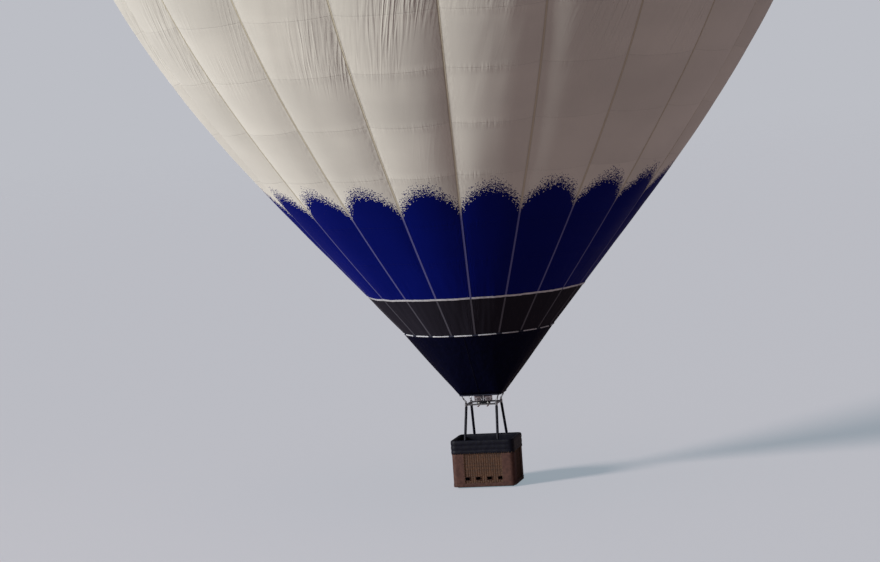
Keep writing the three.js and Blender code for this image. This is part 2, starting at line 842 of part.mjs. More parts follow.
function addBasketTrim() {
  const coreX = basketHalfX - basketCorner;
  const coreY = basketHalfY - basketCorner;
  const outerFace = basketCorner + seatGap;
  const innerFace = basketCorner - wickerWall - seatGap;
  const capBottom = rimHeight - rimWall;
  const rimProfile = [
    [outerFace, rimHeight - rimOuterDrop],
    [outerFace + rimWall, rimHeight - rimOuterDrop],
    [outerFace + rimWall, rimHeight],
    [innerFace - rimWall, rimHeight],
    [innerFace - rimWall, rimHeight - rimInnerDrop],
    [innerFace, rimHeight - rimInnerDrop],
    [innerFace, capBottom],
    [outerFace, capBottom],
    [outerFace, rimHeight - rimOuterDrop],
  ];
  addPiece('rim_pad', roundedRing(rimProfile, coreX, coreY, 24), 'navyLeather');
  const bandProfile = closedBox(outerFace, outerFace + baseBandWall, skidHeight + seatGap, baseBandTop);
  addPiece('base_band', roundedRing(bandProfile, coreX, coreY, 24), 'hide');
}

// Hide wrapped round each upright corner of the wicker
function addCornerLeathers() {
  const bottom = baseBandTop + seatGap;
  const height = rimHeight - rimOuterDrop - seatGap - bottom;
  const inner = basketCorner + seatGap;
  const outer = inner + cornerLeatherWall;
  const shape = new THREE.Shape();
  shape.moveTo(-cornerLeatherReach, inner);
  shape.lineTo(-cornerLeatherReach, outer);
  shape.absarc(0, 0, outer, Math.PI / 2, 0, true);
  shape.lineTo(outer, -cornerLeatherReach);
  shape.lineTo(inner, -cornerLeatherReach);
  shape.absarc(0, 0, inner, 0, Math.PI / 2, false);
  corners.forEach(({ number, signX, signY }) => {
    const hide = new THREE.ExtrudeGeometry(shape, {
      depth: height,
      bevelEnabled: false,
      steps: 1,
      curveSegments: 8,
    });
    hide.scale(signX, signY, 1);
    hide.translate(signX * (basketHalfX - basketCorner), signY * (basketHalfY - basketCorner), bottom);
    addPiece(`corner_leather_${number}`, merged(hide), 'hide');
  });
}

function addBasketFloor() {
  const shape = new THREE.Shape();
  const clear = wickerWall + floorClear;
  const radius = basketCorner - clear;
  const coreX = basketHalfX - basketCorner;
  const coreY = basketHalfY - basketCorner;
  shape.absarc(coreX, coreY, radius, 0, Math.PI / 2, false);
  shape.absarc(-coreX, coreY, radius, Math.PI / 2, Math.PI, false);
  shape.absarc(-coreX, -coreY, radius, Math.PI, 1.5 * Math.PI, false);
  shape.absarc(coreX, -coreY, radius, 1.5 * Math.PI, 2 * Math.PI, false);
  const panel = new THREE.ExtrudeGeometry(shape, {
    depth: floorThickness,
    bevelEnabled: false,
    steps: 1,
    curveSegments: 4,
  });
  panel.translate(0, 0, skidHeight + seatGap);
  addPiece('basket_floor', panel, 'plywood');
  skidRows.forEach((y, i) => {
    const skid = box(skidLength, skidWidth, skidHeight, 0, y, skidHeight / 2);
    addPiece(`skid_${i + 1}`, skid, 'hardwood');
  });
}

// Each cylinder carries its guard collar and its liquid valve
function addCylinders() {
  const floorTop = skidHeight + floorThickness + 2 * seatGap;
  const x = basketHalfX - wickerWall - cylinderRadius - cylinderClear;
  const y = basketHalfY - wickerWall - cylinderRadius - cylinderClear;
  const shoulder = floorTop + cylinderHeight;
  const body = round([
    [0, floorTop],
    [cylinderFootRadius, floorTop],
    [cylinderRadius, floorTop + cylinderBend],
    [cylinderRadius, shoulder - cylinderBend],
    [cylinderCapRadius, shoulder - cylinderCapDrop],
    [0, shoulder],
  ], 16);
  const collar = round(closedBox(collarInner, collarOuter, shoulder - collarSink, shoulder + collarRise), 16);
  const stem = round([
    [0, shoulder - valveStemSink],
    [valveStemRadius, shoulder - valveStemSink],
    [valveStemRadius, shoulder + valveStemRise],
    [handWheelRadius, shoulder + valveStemRise],
    [handWheelRadius, shoulder + handWheelRise],
    [0, shoulder + handWheelRise],
  ], 8);
  corners.forEach(({ number, signX, signY }) => {
    const outletAt = at(0, 0, shoulder + outletHeight);
    const outletEnd = at(-signX * outletLength, 0, shoulder + outletHeight);
    const outlet = rod(outletAt, outletEnd, outletRadius, 6);
    const geometry = fromSolid(joined([body, collar, stem, outlet]));
    addPiece(`gas_cylinder_${number}`, geometry.translate(signX * x, signY * y, 0), 'jacket');
  });
}

addEnvelope();
addVentTapes();
addCrownRing();
addParachuteValve();
addMouthHem();
addFlyingWires();
addLinks();
addSkirt();
addLoadFrame();
addUprights();
addGimbalRing();
addBurnerBlock();
addBurnerCans();
addValveLevers();
addBasketWall();
addBasketTrim();
addCornerLeathers();
addBasketFloor();
addCylinders();

export default balloon;
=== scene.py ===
import json
import math
import random

import bmesh
import bpy
import numpy as np
from mathutils import Matrix, Vector, noise

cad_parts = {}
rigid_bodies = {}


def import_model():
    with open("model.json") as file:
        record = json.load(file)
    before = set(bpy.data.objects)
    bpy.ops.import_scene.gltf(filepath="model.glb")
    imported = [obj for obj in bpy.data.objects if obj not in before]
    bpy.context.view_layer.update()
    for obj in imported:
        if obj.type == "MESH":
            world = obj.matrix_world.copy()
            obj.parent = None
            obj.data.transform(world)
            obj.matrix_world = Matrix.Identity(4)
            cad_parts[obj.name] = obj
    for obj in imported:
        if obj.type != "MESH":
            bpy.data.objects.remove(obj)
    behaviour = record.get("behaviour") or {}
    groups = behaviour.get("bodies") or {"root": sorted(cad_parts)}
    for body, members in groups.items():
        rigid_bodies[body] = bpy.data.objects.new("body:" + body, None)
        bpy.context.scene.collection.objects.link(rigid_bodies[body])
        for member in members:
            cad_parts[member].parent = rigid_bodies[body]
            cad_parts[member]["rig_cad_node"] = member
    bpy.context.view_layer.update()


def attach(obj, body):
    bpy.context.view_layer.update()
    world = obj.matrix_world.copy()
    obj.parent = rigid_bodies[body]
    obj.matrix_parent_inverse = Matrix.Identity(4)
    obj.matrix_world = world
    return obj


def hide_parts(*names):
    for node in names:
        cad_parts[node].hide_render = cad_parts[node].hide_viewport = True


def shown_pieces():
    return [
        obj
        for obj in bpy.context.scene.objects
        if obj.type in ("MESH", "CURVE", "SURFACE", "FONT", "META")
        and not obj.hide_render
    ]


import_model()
draw = random.Random(7)

# Hot air balloon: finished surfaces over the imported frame, in metres.
# Heights are counted from the underside of the basket's skids, and FLOOR is its place in the row frame.
FLOOR = -17.0
# Gap between two surfaces that lie on each other
SEAT = 0.0003
TURN = 2 * math.pi
QUARTER_TURN = math.pi / 2
# Signs of x and y in the four quarters of a turn
QUARTERS = ((1, 1), (-1, 1), (-1, -1), (1, -1))
# Each corner's number and the signs of its x and y
CORNERS = ((1, -1, -1), (2, 1, -1), (3, 1, 1), (4, -1, 1))

# Envelope: a natural balloon curve that starts as a cone and closes at the crown
CONE_APEX = 1.88
CONE_HALF_ANGLE = math.radians(41)
CURVE_FACTOR = 0.0008
CURVE_STEP = 0.01
MOUTH = 4.12
HEAT_TOP = 5.12
GORES = 20
GORE_ANGLE = TURN / GORES
GORE_DIP = 0.02
CROWN_SEAM = 4.0
VENT_RADIUS = 2.34
CLOTH = 0.004
PANEL_HEIGHT = 1.6
ROWS_IN_PANEL = 6
STEPS_IN_GORE = 24
PANEL_WIDTH = 2.5
SECTORS = 4
TAPE_WIDTH = 0.046

# How far the cloth stands off the curve
PUFF = 0.005
BILLOW = 0.035
PLEAT = 0.02
GATHER = 0.012
GORE_ROUNDNESS = 2.7
PLEAT_WIDTH = 0.26
GATHER_WIDTH = 0.1
LEAN = 0.22
# Heights between which the pleats set in, and where the mouth's gathers end
PLEATS_SET_IN = (8.8, 12.5)
GATHERS_END = 6.6
# Heights in the row frame between which the load tapes turn from lilac to drab
TAPES_TURN_DRAB = (7.2 + FLOOR, 7.65 + FLOOR)

# Crown
VENT_EDGE_WIDTH = 0.06
VENT_EDGE_DEPTH = 0.026
VENT_TAPE_WIDTH = 0.045
HUB_RADIUS = 0.19
HUB_HOLE = 0.105
CROWN_RING = 0.15
CROWN_BAR = 0.014
VALVE_OVERLAP = 0.32

# Basket
BASKET_X = 0.815
BASKET_Y = 0.615
BASKET_CORNER = 0.11
WALL = 0.04
SKID_HEIGHT = 0.04
SKID_WIDTH = 0.06
SKID_LENGTH = 1.48
SKID_ROWS = (-0.4, 0.0, 0.4)
RIM = 1.25
PAD_BOTTOM = 0.9
BAND_TOP = 0.13
LEATHER_REACH = 0.21
STAKES = 90
STAKE_RADIUS = 0.007
STRAND_PITCH = 0.015
STRAND_SWING = 0.0125
STRAND_HALF = (0.0055, 0.0098)
CORE_HALF = 0.003
HOLE_X = (-0.435, -0.148, 0.148, 0.435)
HOLE_HEIGHT = 0.25
HOLE_HALF = (0.065, 0.045)
BOLT_BOTTOM = 0.0576
BOLTS_X = (-0.6, -0.2, 0.2, 0.6)

# Gas cylinders
CYLINDER_PLACE = (0.62, 0.42)
CYLINDER_BOTTOM = 0.0586
CYLINDER_TOP = 0.8586
COLLAR_RADIUS = 0.1
COLLAR_WALL = 0.004
WHEEL_RADIUS = 0.029
WHEEL_RISE = 0.054
STRAP_RADIUS = 0.1455
STRAP_RISES = (0.225, 0.55)

# Load frame, gimbal and burner
FRAME_X = 0.4
FRAME_Y = 0.32
FRAME_HEIGHT = 2.14
FRAME_BAR = 0.019
SOCKET_RADIUS = 0.032
SOCKET_BOTTOM = 2.1
SOCKET_TOP = 2.178
SOCKET_EDGE = 0.003
COVER_RADIUS = 0.036
COVER_FOOT = (0.43, 0.595)
LUG_HEIGHT = 2.215
LUG_HOLE = 0.014
LUG_RADIUS = 0.028
LUG_WALL = 0.009
GIMBAL_X = 0.33
GIMBAL_Y = 0.225
GIMBAL_CORNER = 0.07
GIMBAL_BAR = 0.012
PIN_RADIUS = 0.009
PIN_BORE = 0.0099
BOSS_RADIUS = 0.019
BOSS_EDGE = 0.002
BOSS_LENGTH = 0.034
BLOCK_X = 0.17
BLOCK_Y = 0.06
BLOCK_BOTTOM = 2.112
BLOCK_TOP = 2.186
BURNER_X = (-0.122, 0.122)
CAN_RADIUS = 0.115
CAN_WALL = 0.003
CAN_BOTTOM = 2.205
CAN_TOP = 2.57
COIL_RADIUS = 0.092
COIL_BAR = 0.008
COIL_TURNS = 4

# Links, flying wires and the mouth's hem
LINK_HALF_WIDTH = 0.024
LINK_LENGTH = 0.09
LINK_BAR = 0.006
EYE_HOLE = 0.012
EYE_RADIUS = 0.022
EYE_WALL = 0.009
FERRULE_RADIUS = 0.017
FERRULE_LENGTH = 0.046
WIRE_RADIUS = 0.004
# Distances below a wire's upper end between which its crimped sleeve lies
CRIMP = (0.075, 0.03)
HEM_WIDTH = 0.046
HEM_DEPTH = 0.03
HEM_SLEEVE_HALF = 0.075
HEM_SLEEVE_MORE = 0.008

# Skirt
SKIRT_ARC_STEPS = 30
SKIRT_SIDE_STEPS = 16
SKIRT_CLEAR = 0.024
SKIRT_HEM = 2.42
SKIRT_HEM_DEPTH = 0.036
SKIRT_HEM_WIDTH = 0.022
# How far the cloth tucks in at its two ends, and how far it folds and bellies between them
SKIRT_TUCK = 0.004
SKIRT_FOLD = 0.016
SKIRT_BELLY = 0.006


def new_object(name, data):
    made = bpy.data.objects.new(name, data)
    bpy.context.scene.collection.objects.link(made)
    return made


# Camera: the same lens, distance and lean of the balloon's axis as in the photograph
def add_camera():
    photo_width, photo_height = 880, 562
    focal_pixels = 3000
    sensor_width = 36
    apex_pixel = (484.4, 412.6)
    apex_distance = 78
    axis_seen = Vector((-0.0693, 0.9943, 0.0807)).normalized()
    azimuth = math.radians(12)
    right = (apex_pixel[0] - photo_width / 2) / focal_pixels
    down = (apex_pixel[1] - photo_height / 2) / focal_pixels
    apex_seen = Vector((right, -down, -1)) * apex_distance
    level = (-apex_seen + axis_seen * apex_seen.dot(axis_seen)).normalized()
    side = axis_seen.cross(level)
    across = math.cos(azimuth) * side + math.sin(azimuth) * level
    depth = math.sin(azimuth) * side - math.cos(azimuth) * level
    turn = Matrix((across, depth, axis_seen))
    camera = bpy.data.cameras.new("camera")
    camera.lens = focal_pixels * sensor_width / photo_width
    camera.sensor_width = sensor_width
    camera.clip_end = 2000
    view = new_object("camera", camera)
    place = Vector((0, 0, CONE_APEX + FLOOR)) - turn @ apex_seen
    view.matrix_world = Matrix.Translation(place) @ turn.to_4x4()
    bpy.context.scene.camera = view
    return turn


# Materials
class Value:
    """A node's output, so that sums of nodes read as plain sums."""

    def __init__(self, look, socket):
        self.look = look
        self.socket = socket

    def __add__(self, other):
        return self.look.maths("ADD", self, other)

    def __sub__(self, other):
        return self.look.maths("SUBTRACT", self, other)

    def __rsub__(self, other):
        return self.look.maths("SUBTRACT", other, self)

    def __mul__(self, other):
        return self.look.maths("MULTIPLY", self, other)


class Look:
    """A node tree in the making. Most methods add a node and give its output."""

    def __init__(self, tree):
        self.tree = tree

    def put(self, target, inputs):
        """Sets a node's inputs to plain values, or links them to other nodes."""
        for key, value in inputs.items():
            if isinstance(value, Value):
                self.tree.links.new(value.socket, target.inputs[key])
            else:
                target.inputs[key].default_value = value

    def node(self, kind, inputs=None, output=0, **settings):
        made = self.tree.nodes.new("ShaderNode" + kind)
        for key, value in settings.items():
            setattr(made, key, value)
        self.put(made, inputs or {})
        return Value(self, made.outputs[output])

    def maths(self, operation, first, second=0.0):
        return self.node("Math", {0: first, 1: second}, operation=operation)

    def attribute(self, name):
        return self.node("Attribute", output="Fac", attribute_name=name)

    def ease(self, value, low, high, start=0.0, end=1.0):
        """Goes smoothly from start to end as the value goes from low to high."""
        inputs = {"Value": value, "From Min": low, "From Max": high, "To Min": start, "To Max": end}
        return self.node("MapRange", inputs, interpolation_type="SMOOTHSTEP")

    def mix(self, share, first, second):
        return self.node("Mix", {0: share, 6: first, 7: second}, 2, data_type="RGBA")

    def dim(self, base, share):
        plain = base if isinstance(base, Value) else base[:3]
        return self.node("VectorMath", {"Vector": plain, "Scale": share}, operation="SCALE")

    def flecks(self, vector, scale, detail=3.0):
        return self.node("TexNoise", {"Vector": vector, "Scale": scale, "Detail": detail})

    def place(self, stretch=None):
        place = self.node("TexCoord", output="Object")
        return self.node("Mapping", {"Vector": place, "Scale": stretch}) if stretch else place

    def height(self):
        return self.node("SeparateXYZ", {"Vector": self.place()}, "Z")

    def point(self, x, y, z=0.0):
        return self.node("CombineXYZ", {"X": x, "Y": y, "Z": z})

    def folds(self, turn, along, fineness, shortness, seed):
        """Long upright folds with a sharp crest: 1 on a crest, 0 away from it."""
        wave = self.flecks(self.point(turn * fineness, along, seed), shortness, 1.0) - 0.5
        return self.ease(self.maths("ABSOLUTE", wave), 0.0, 0.14, 1.0, 0.0)


USUAL_GLOSS = 0.5
materials = {}


class Finish(Look):
    """A material in the making."""

    def __init__(self, name, roughness, metallic=0.0, gloss=USUAL_GLOSS, flatness=0.0):
        materials[name] = bpy.data.materials.new(name)
        materials[name].use_nodes = True
        super().__init__(materials[name].node_tree)
        self.shader = self.tree.nodes["Principled BSDF"]
        self.put(self.shader, {"Roughness": roughness, "Metallic": metallic, "Specular IOR Level": gloss,
                               "Diffuse Roughness": flatness})

    def coat(self, base, height, depth, roughness=None):
        """Gives the surface its colour, its bumps and, where it varies, its roughness."""
        normal = self.node("Bump", {"Height": height, "Distance": depth, "Strength": 1.0})
        self.put(self.shader, {"Base Color": base, "Normal": normal})
        if roughness:
            self.put(self.shader, {"Roughness": roughness})


def colour(red, green, blue):
    """A linear colour from numbers between 0 and 255."""
    shares = [part / 255 for part in (red, green, blue)]
    linear = [s / 12.92 if s <= 0.04045 else ((s + 0.055) / 1.055) ** 2.4 for s in shares]
    return (*linear, 1)


# Plain finishes: dark and light colour, roughness, metalness, grain scale, stretch of the grain, bump depth
FINISHES = {
    "webbing_white": ((176, 178, 186), (214, 214, 218), 0.75, 0, 60, (1, 1, 3), 0.0006),
    "webbing_navy": ((10, 14, 34), (20, 26, 54), 0.8, 0, 60, (1, 1, 3), 0.0006),
    "steel": ((128, 130, 134), (176, 178, 182), 0.34, 1, 40, (1, 1, 12), 0.0002),
    "dark_steel": ((58, 60, 64), (88, 90, 95), 0.42, 1, 40, (6, 1, 1), 0.0002),
    "brass": ((128, 94, 44), (184, 148, 80), 0.36, 1, 30, (1, 1, 5), 0.0002),
    "red_plastic": ((112, 14, 12), (142, 24, 18), 0.42, 0, 90, (1, 1, 1), 0.0002),
    "black_rubber": ((16, 16, 18), (30, 30, 33), 0.7, 0, 80, (1, 1, 1), 0.0003),
    "navy_leather": ((5, 6, 18), (11, 13, 31), 0.54, 0, 220, (1, 1, 1), 0.0009),
    "hide": ((68, 43, 38), (86, 57, 49), 0.68, 0, 120, (1, 1, 1), 0.0014),
    "lacing": ((92, 70, 48), (140, 112, 80), 0.8, 0, 150, (1, 1, 1), 0.0008),
    "jacket": ((16, 22, 44), (32, 40, 68), 0.85, 0, 260, (1, 1, 1), 0.0009),
    "stake": ((58, 34, 18), (98, 62, 34), 0.66, 0, 30, (4, 4, 1), 0.0012),
    "dial": ((198, 198, 192), (226, 226, 220), 0.4, 0, 20, (1, 1, 1), 0.0001),
}
LOW_GLOSS = {"navy_leather": 0.2, "hide": 0.3}


def plain_finish(name, dark, light, roughness, metallic, scale, stretch, depth):
    look = Finish(name, roughness, metallic, LOW_GLOSS.get(name, USUAL_GLOSS))
    place = look.place(stretch)
    broad = look.flecks(place, scale / 8, 4.0)
    fine = look.flecks(place, scale, 6.0)
    share = look.ease(broad, 0.3, 0.7) + (look.attribute("tone") * 0.35 - 0.17)
    base = look.mix(share, colour(*dark), colour(*light))
    look.coat(base, fine, depth, look.ease(fine, 0.2, 0.8, roughness - 0.1, roughness + 0.12))


# Colours of the envelope's cloth
WHITE_CLOTH = colour(228, 225, 216)
BLUE_CLOTH = colour(5, 18, 107)
DEEP_BLUE_CLOTH = colour(5, 14, 84)
HEAT_CLOTH = colour(40, 38, 47)

# What the cloth's finish reads at each point: place in the gore from 0 in the middle to 1 at its tapes,
# half the gore's width, distance up the curve, distance to the nearest seam, and place round the envelope
# counted in gores
CLOTH_VALUES = ("across", "half", "along", "seam", "turn")


def plain_paint(shade):
    return lambda look, along, turn, half: shade


def wavy_paint(look, along, turn, half):
    """White over blue, parted by scallops, one to each gore, whose edge is sprayed in fine dots."""
    notch = 4.32
    rise = 0.82
    spray = 0.34
    grain = 46
    gore = look.maths("ROUND", turn)
    inside = turn - gore
    arch = look.maths("MAXIMUM", look.maths("COSINE", inside * math.pi), 0.0)
    edge = look.maths("POWER", arch, 0.75) * rise + notch
    above = look.ease(along - edge, -spray, spray)
    place = look.point(inside * (half * 2.0), along, gore)
    dots = look.node("TexVoronoi", {"Vector": place, "Scale": grain, "Randomness": 1.0}, "Color")
    chance = look.node("SeparateColor", {"Color": dots})
    return look.mix(look.maths("GREATER_THAN", above, chance), BLUE_CLOTH, WHITE_CLOTH)


def cloth_finish(name, paint, roughness=0.58):
    """Coated cloth in panels: sewn seams, puckers beside the tapes, a dark line along each tape that is
    partly its stitching and partly painted shade of the crease there, and long upright creases.
    """
    look = Finish(name, roughness, gloss=0.03, flatness=1.0)
    across, half, along, seam, turn, tone = (look.attribute(key) for key in (*CLOTH_VALUES, "tone"))
    to_tape = (1.0 - across) * half
    seam_line = look.ease(seam, 0.006, 0.016, 1.0, 0.0)
    # Along each load tape the cloth is darkened: partly its stitching, partly painted shade of the crease the
    # tape lies in.
    tape_stitch_and_shade = look.ease(to_tape, 0.026, 0.042, 1.0, 0.0)
    wide = look.flecks(look.point(turn * 1.3, along), 0.7, 4.0)
    shade = seam_line * -0.05 + tape_stitch_and_shade * -0.22 + tone * 0.07 + look.ease(wide, 0.3, 0.7, 0.93, 1.0)
    leaning = turn - along * (LEAN / PANEL_WIDTH)
    creases = look.folds(leaning, along, 34.0, 0.45, 2.0) + look.folds(leaning, along, 60.0, 0.6, 4.0) * 0.3
    patches = look.flecks(look.point(turn * 2.2, along, 7.0), 0.5, 1.0)
    beside = turn - look.maths("ROUND", turn)
    # Creases come in patches, on one side of a gore, and fade towards the mouth and where gores are narrow
    for value, low, high, least in ((patches, 0.42, 0.72, 0.03), (beside, -0.3, 0.15, 0.25),
                                    (along, 7.2, 10.8, 0.08), (half, 0.6, 1.25, 0.06)):
        creases = creases * look.ease(value, low, high, least, 1.0)
    by_tape = look.ease(to_tape, 0.0, 0.34, 1.0, 0.0)
    by_seam = look.ease(seam, 0.0, 0.22, 1.0, 0.0)
    puckers = look.flecks(look.point(turn * 4.0, along, 5.0), 6.0, 2.0) * by_tape
    ruffle = look.flecks(look.point(turn * 24.0, along, 9.0), 1.4, 2.0) * by_seam
    height = creases + puckers * 0.7 + ruffle * 0.5 - seam_line * 0.15
    look.coat(look.dim(paint(look, along, turn, half), shade), height, 0.019)


def tape_finish():
    """Load tapes: pale lilac over the blue cloth, a drab sewn line over the white."""
    look = Finish("load_tape", 0.7)
    height = look.height()
    weave = look.flecks(look.place(), 90.0, 2.0)
    pale = look.mix(weave, colour(74, 76, 140), colour(96, 98, 160))
    drab = look.mix(weave, colour(190, 183, 162), colour(212, 205, 184))
    grey = look.mix(weave, colour(66, 66, 78), colour(86, 86, 98))
    low = look.mix(look.maths("GREATER_THAN", height, HEAT_TOP + FLOOR), grey, pale)
    look.coat(look.mix(look.ease(height, *TAPES_TURN_DRAB), low, drab), weave, 0.001)


def skirt_finish():
    look = Finish("skirt_cloth", 0.66, gloss=0.04)
    folds = look.flecks(look.place((1, 1, 0.25)), 9.0, 3.0)
    weave = look.flecks(look.place(), 400.0, 1.0)
    # The colour follows the fold noise that also makes the bumps: darker in the folds' hollows and lighter on
    # their crests, which is painted shade.
    look.coat(look.mix(folds, colour(2, 4, 22), colour(6, 9, 38)), folds + weave * 0.04, 0.02)


def wicker_finish():
    look = Finish("wicker", 0.58, gloss=0.4)
    fibre = look.flecks(look.place((3, 3, 60)), 9.0, 4.0)
    stain = look.flecks(look.place(), 3.0, 3.0)
    tone = look.attribute("tone")
    dark = look.mix(tone, colour(44, 25, 13), colour(68, 40, 22))
    light = look.mix(tone, colour(80, 48, 27), colour(112, 72, 42))
    base = look.mix(look.ease(fibre, 0.3, 0.75), dark, light)
    base = look.dim(base, look.ease(stain, 0.3, 0.7, 0.72, 1.05))
    look.coat(base, fibre, 0.0012, look.ease(fibre, 0.2, 0.8, 0.48, 0.72))


def can_finish():
    """Stainless steel, straw and blue where the flame has heated it."""
    look = Finish("burner_can", 0.24, 1.0)
    level = look.height() + look.flecks(look.place(), 14.0, 3.0) * 0.08
    straw = look.ease(level, CAN_TOP - 0.16 + FLOOR, CAN_TOP + 0.02 + FLOOR, 0.0, 0.8)
    blue = look.ease(level, CAN_TOP - 0.02 + FLOOR, CAN_TOP + 0.05 + FLOOR, 0.0, 0.7)
    base = look.mix(blue, look.mix(straw, colour(196, 197, 202), colour(186, 150, 104)), colour(92, 92, 140))
    brush = look.flecks(look.place((1, 1, 30)), 40.0, 4.0)
    look.coat(base, brush, 0.0002, look.ease(brush, 0.2, 0.8, 0.18, 0.36))


def wood_finish(name, dark, light, stretch, rings):
    look = Finish(name, 0.55)
    place = look.place(stretch)
    grain = look.node("TexWave", {"Vector": place, "Scale": rings, "Distortion": 7.0, "Detail": 3.0})
    share = look.ease(grain * look.flecks(place, 1.6, 4.0), 0.05, 0.6)
    look.coat(look.mix(share, colour(*dark), colour(*light)), grain, 0.0006)


def make_materials():
    for name, values in FINISHES.items():
        plain_finish(name, *values)
    cloth_finish("white_cloth", plain_paint(WHITE_CLOTH))
    cloth_finish("wavy_cloth", wavy_paint)
    cloth_finish("blue_cloth", plain_paint(BLUE_CLOTH))
    cloth_finish("heat_cloth", plain_paint(HEAT_CLOTH), roughness=0.72)
    cloth_finish("valve_cloth", plain_paint(DEEP_BLUE_CLOTH))
    tape_finish()
    skirt_finish()
    wicker_finish()
    can_finish()
    wood_finish("plywood", (120, 84, 48), (178, 138, 92), (1.0, 9.0, 9.0), 2.2)
    wood_finish("hardwood", (70, 44, 26), (118, 80, 48), (1.2, 14.0, 14.0), 3.0)


# Meshes: a part is a list of points and a list of faces
class Shape:
    """Parts gathered for one mesh, each with one tone from 0 to 1."""

    def __init__(self, *parts):
        self.points = []
        self.faces = []
        self.tones = []
        for part in parts:
            self.add(part)

    def add(self, part):
        points, faces = part
        base = len(self.points)
        self.points += [tuple(point) for point in points]
        self.faces += [tuple(base + corner for corner in face) for face in faces]
        self.tones += [draw.random()] * len(faces)


def make_piece(name, shape, finish, nodes=(), body="root", values=None, crease=38):
    """Turns a shape, or a list of parts, into a piece that rides on a body."""
    shape = shape if isinstance(shape, Shape) else Shape(*shape)
    mesh = bpy.data.meshes.new(name)
    mesh.from_pydata([(x, y, z + FLOOR) for x, y, z in shape.points], [], shape.faces)
    mesh.attributes.new("tone", "FLOAT", "FACE").data.foreach_set("value", shape.tones)
    for key, numbers in (values or {}).items():
        mesh.attributes.new(key, "FLOAT", "POINT").data.foreach_set("value", numbers)
    work = bmesh.new()
    work.from_mesh(mesh)
    bmesh.ops.recalc_face_normals(work, faces=work.faces)
    work.to_mesh(mesh)
    work.free()
    mesh.shade_smooth()
    mesh.set_sharp_from_angle(angle=math.radians(crease))
    mesh.materials.append(materials[finish])
    piece = new_object(name, mesh)
    if nodes:
        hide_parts(*nodes)
    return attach(piece, body)


def grid_faces(rows, columns, wrap_rows=False, wrap_columns=False, base=0):
    faces = []
    for row in range(rows if wrap_rows else rows - 1):
        here = base + row * columns
        there = base + (row + 1) % rows * columns
        for column in range(columns if wrap_columns else columns - 1):
            after = (column + 1) % columns
            faces.append((here + column, here + after, there + after, there + column))
    return faces


def shell(outer, inner, wrap_columns=False):
    """A thin closed sheet between two grids of points, given as rows of points."""
    rows, columns = len(outer), len(outer[0])
    total = rows * columns
    faces = grid_faces(rows, columns, wrap_columns=wrap_columns)
    faces += [tuple(reversed(face)) for face in grid_faces(rows, columns, False, wrap_columns, total)]
    edges = []
    for row in (0, rows - 1):
        for column in range(columns if wrap_columns else columns - 1):
            edges.append((row * columns + column, row * columns + (column + 1) % columns))
    if not wrap_columns:
        for column in (0, columns - 1):
            edges += [(row * columns + column, (row + 1) * columns + column) for row in range(rows - 1)]
    faces += [(a, b, b + total, a + total) for a, b in edges]
    return [point for row in (*outer, *inner) for point in row], faces


def capped(points, rows, sides):
    """A tube of rows of points, closed at both ends."""
    ends = [tuple(range(sides)), tuple(range((rows - 1) * sides, rows * sides))]
    return points, grid_faces(rows, sides, wrap_columns=True) + ends


def polar(radius, angle, height, centre=(0, 0)):
    return (centre[0] + radius * math.cos(angle), centre[1] + radius * math.sin(angle), height)


def circle(radius, sides):
    return [polar(radius, k * TURN / sides, 0)[:2] for k in range(sides)]


def rounded_section(width, depth, radius, steps=3):
    """A rounded rectangle's outline, centred."""
    points = []
    for turn, (sx, sy) in enumerate(QUARTERS):
        centre = (sx * (width / 2 - radius), sy * (depth / 2 - radius))
        points += [polar(radius, (turn + k / steps) * QUARTER_TURN, 0, centre)[:2] for k in range(steps + 1)]
    return points


def chamfered(radius, low, high, soft, bore=0.0):
    """The profile of a disc or sleeve with softened edges."""
    return [(bore, low), (radius - soft, low), (radius, low + soft),
            (radius, high - soft), (radius - soft, high), (bore, high)]


def sweep(path, section, closed=False, hint=(0, 0, 1), scales=None):
    """A section carried along a path, its second axis as near to the hint as can be."""
    path = [Vector(point) for point in path]
    count = len(path)
    points = []
    for i, centre in enumerate(path):
        ahead = path[(i + 1) % count] if closed or i + 1 < count else centre
        behind = path[i - 1] if closed or i > 0 else centre
        along = (ahead - behind).normalized()
        side = along.cross(Vector(hint)).normalized()
        up = side.cross(along)
        scale = scales[i] if scales else 1
        points += [centre + (side * a + up * b) * scale for a, b in section]
    if closed:
        return points, grid_faces(count, len(section), True, True)
    return capped(points, count, len(section))


def rod(start, end, radius, sides=16, soft=0.0015):
    """A round bar with slightly rounded ends."""
    start, end = Vector(start), Vector(end)
    along = (end - start).normalized()
    hint = (1, 0, 0) if abs(along.z) > 0.9 else (0, 0, 1)
    path = [start, start + along * soft, end - along * soft, end]
    first = 1 - soft / radius
    return sweep(path, circle(radius, sides), hint=hint, scales=[first, 1, 1, first])


def hexagon(centre, along, radius, height):
    """A nut or bolt head."""
    start = Vector(centre)
    return rod(start, start + Vector(along).normalized() * height, radius, 6, 0.0012)


def turned(profile, segments, centre=(0, 0, 0), closed=False):
    """A profile of radius and rise turned about an upright axis. A radius of 0 is a pole."""
    points = []
    rings = []
    for radius, height in profile:
        count = 1 if radius == 0 else segments
        rings.append(range(len(points), len(points) + count))
        points += [polar(radius, k * TURN / segments, height + centre[2], centre) for k in range(count)]
    faces = []
    for low, high in list(zip(rings, rings[1:])) + ([(rings[-1], rings[0])] if closed else []):
        for k in range(segments):
            after = (k + 1) % segments
            corners = [low[k % len(low)], low[after % len(low)], high[after % len(high)], high[k % len(high)]]
            faces.append(tuple(dict.fromkeys(corners)))
    return points, faces


def hoop(section, radius, height, segments, centre=(0, 0)):
    """A section carried round an upright axis."""
    profile = [(radius + a, b) for a, b in section]
    return turned(profile, segments, (*centre[:2], height), closed=True)


def moved(part, matrix):
    points, faces = part
    return [matrix @ Vector(point) for point in points], faces


def aimed(part, place, axis, way=1):
    """A part drawn upright at the origin, given a quarter turn about an axis and set in its place."""
    return moved(part, Matrix.Translation(place) @ Matrix.Rotation(way * QUARTER_TURN, 4, axis))


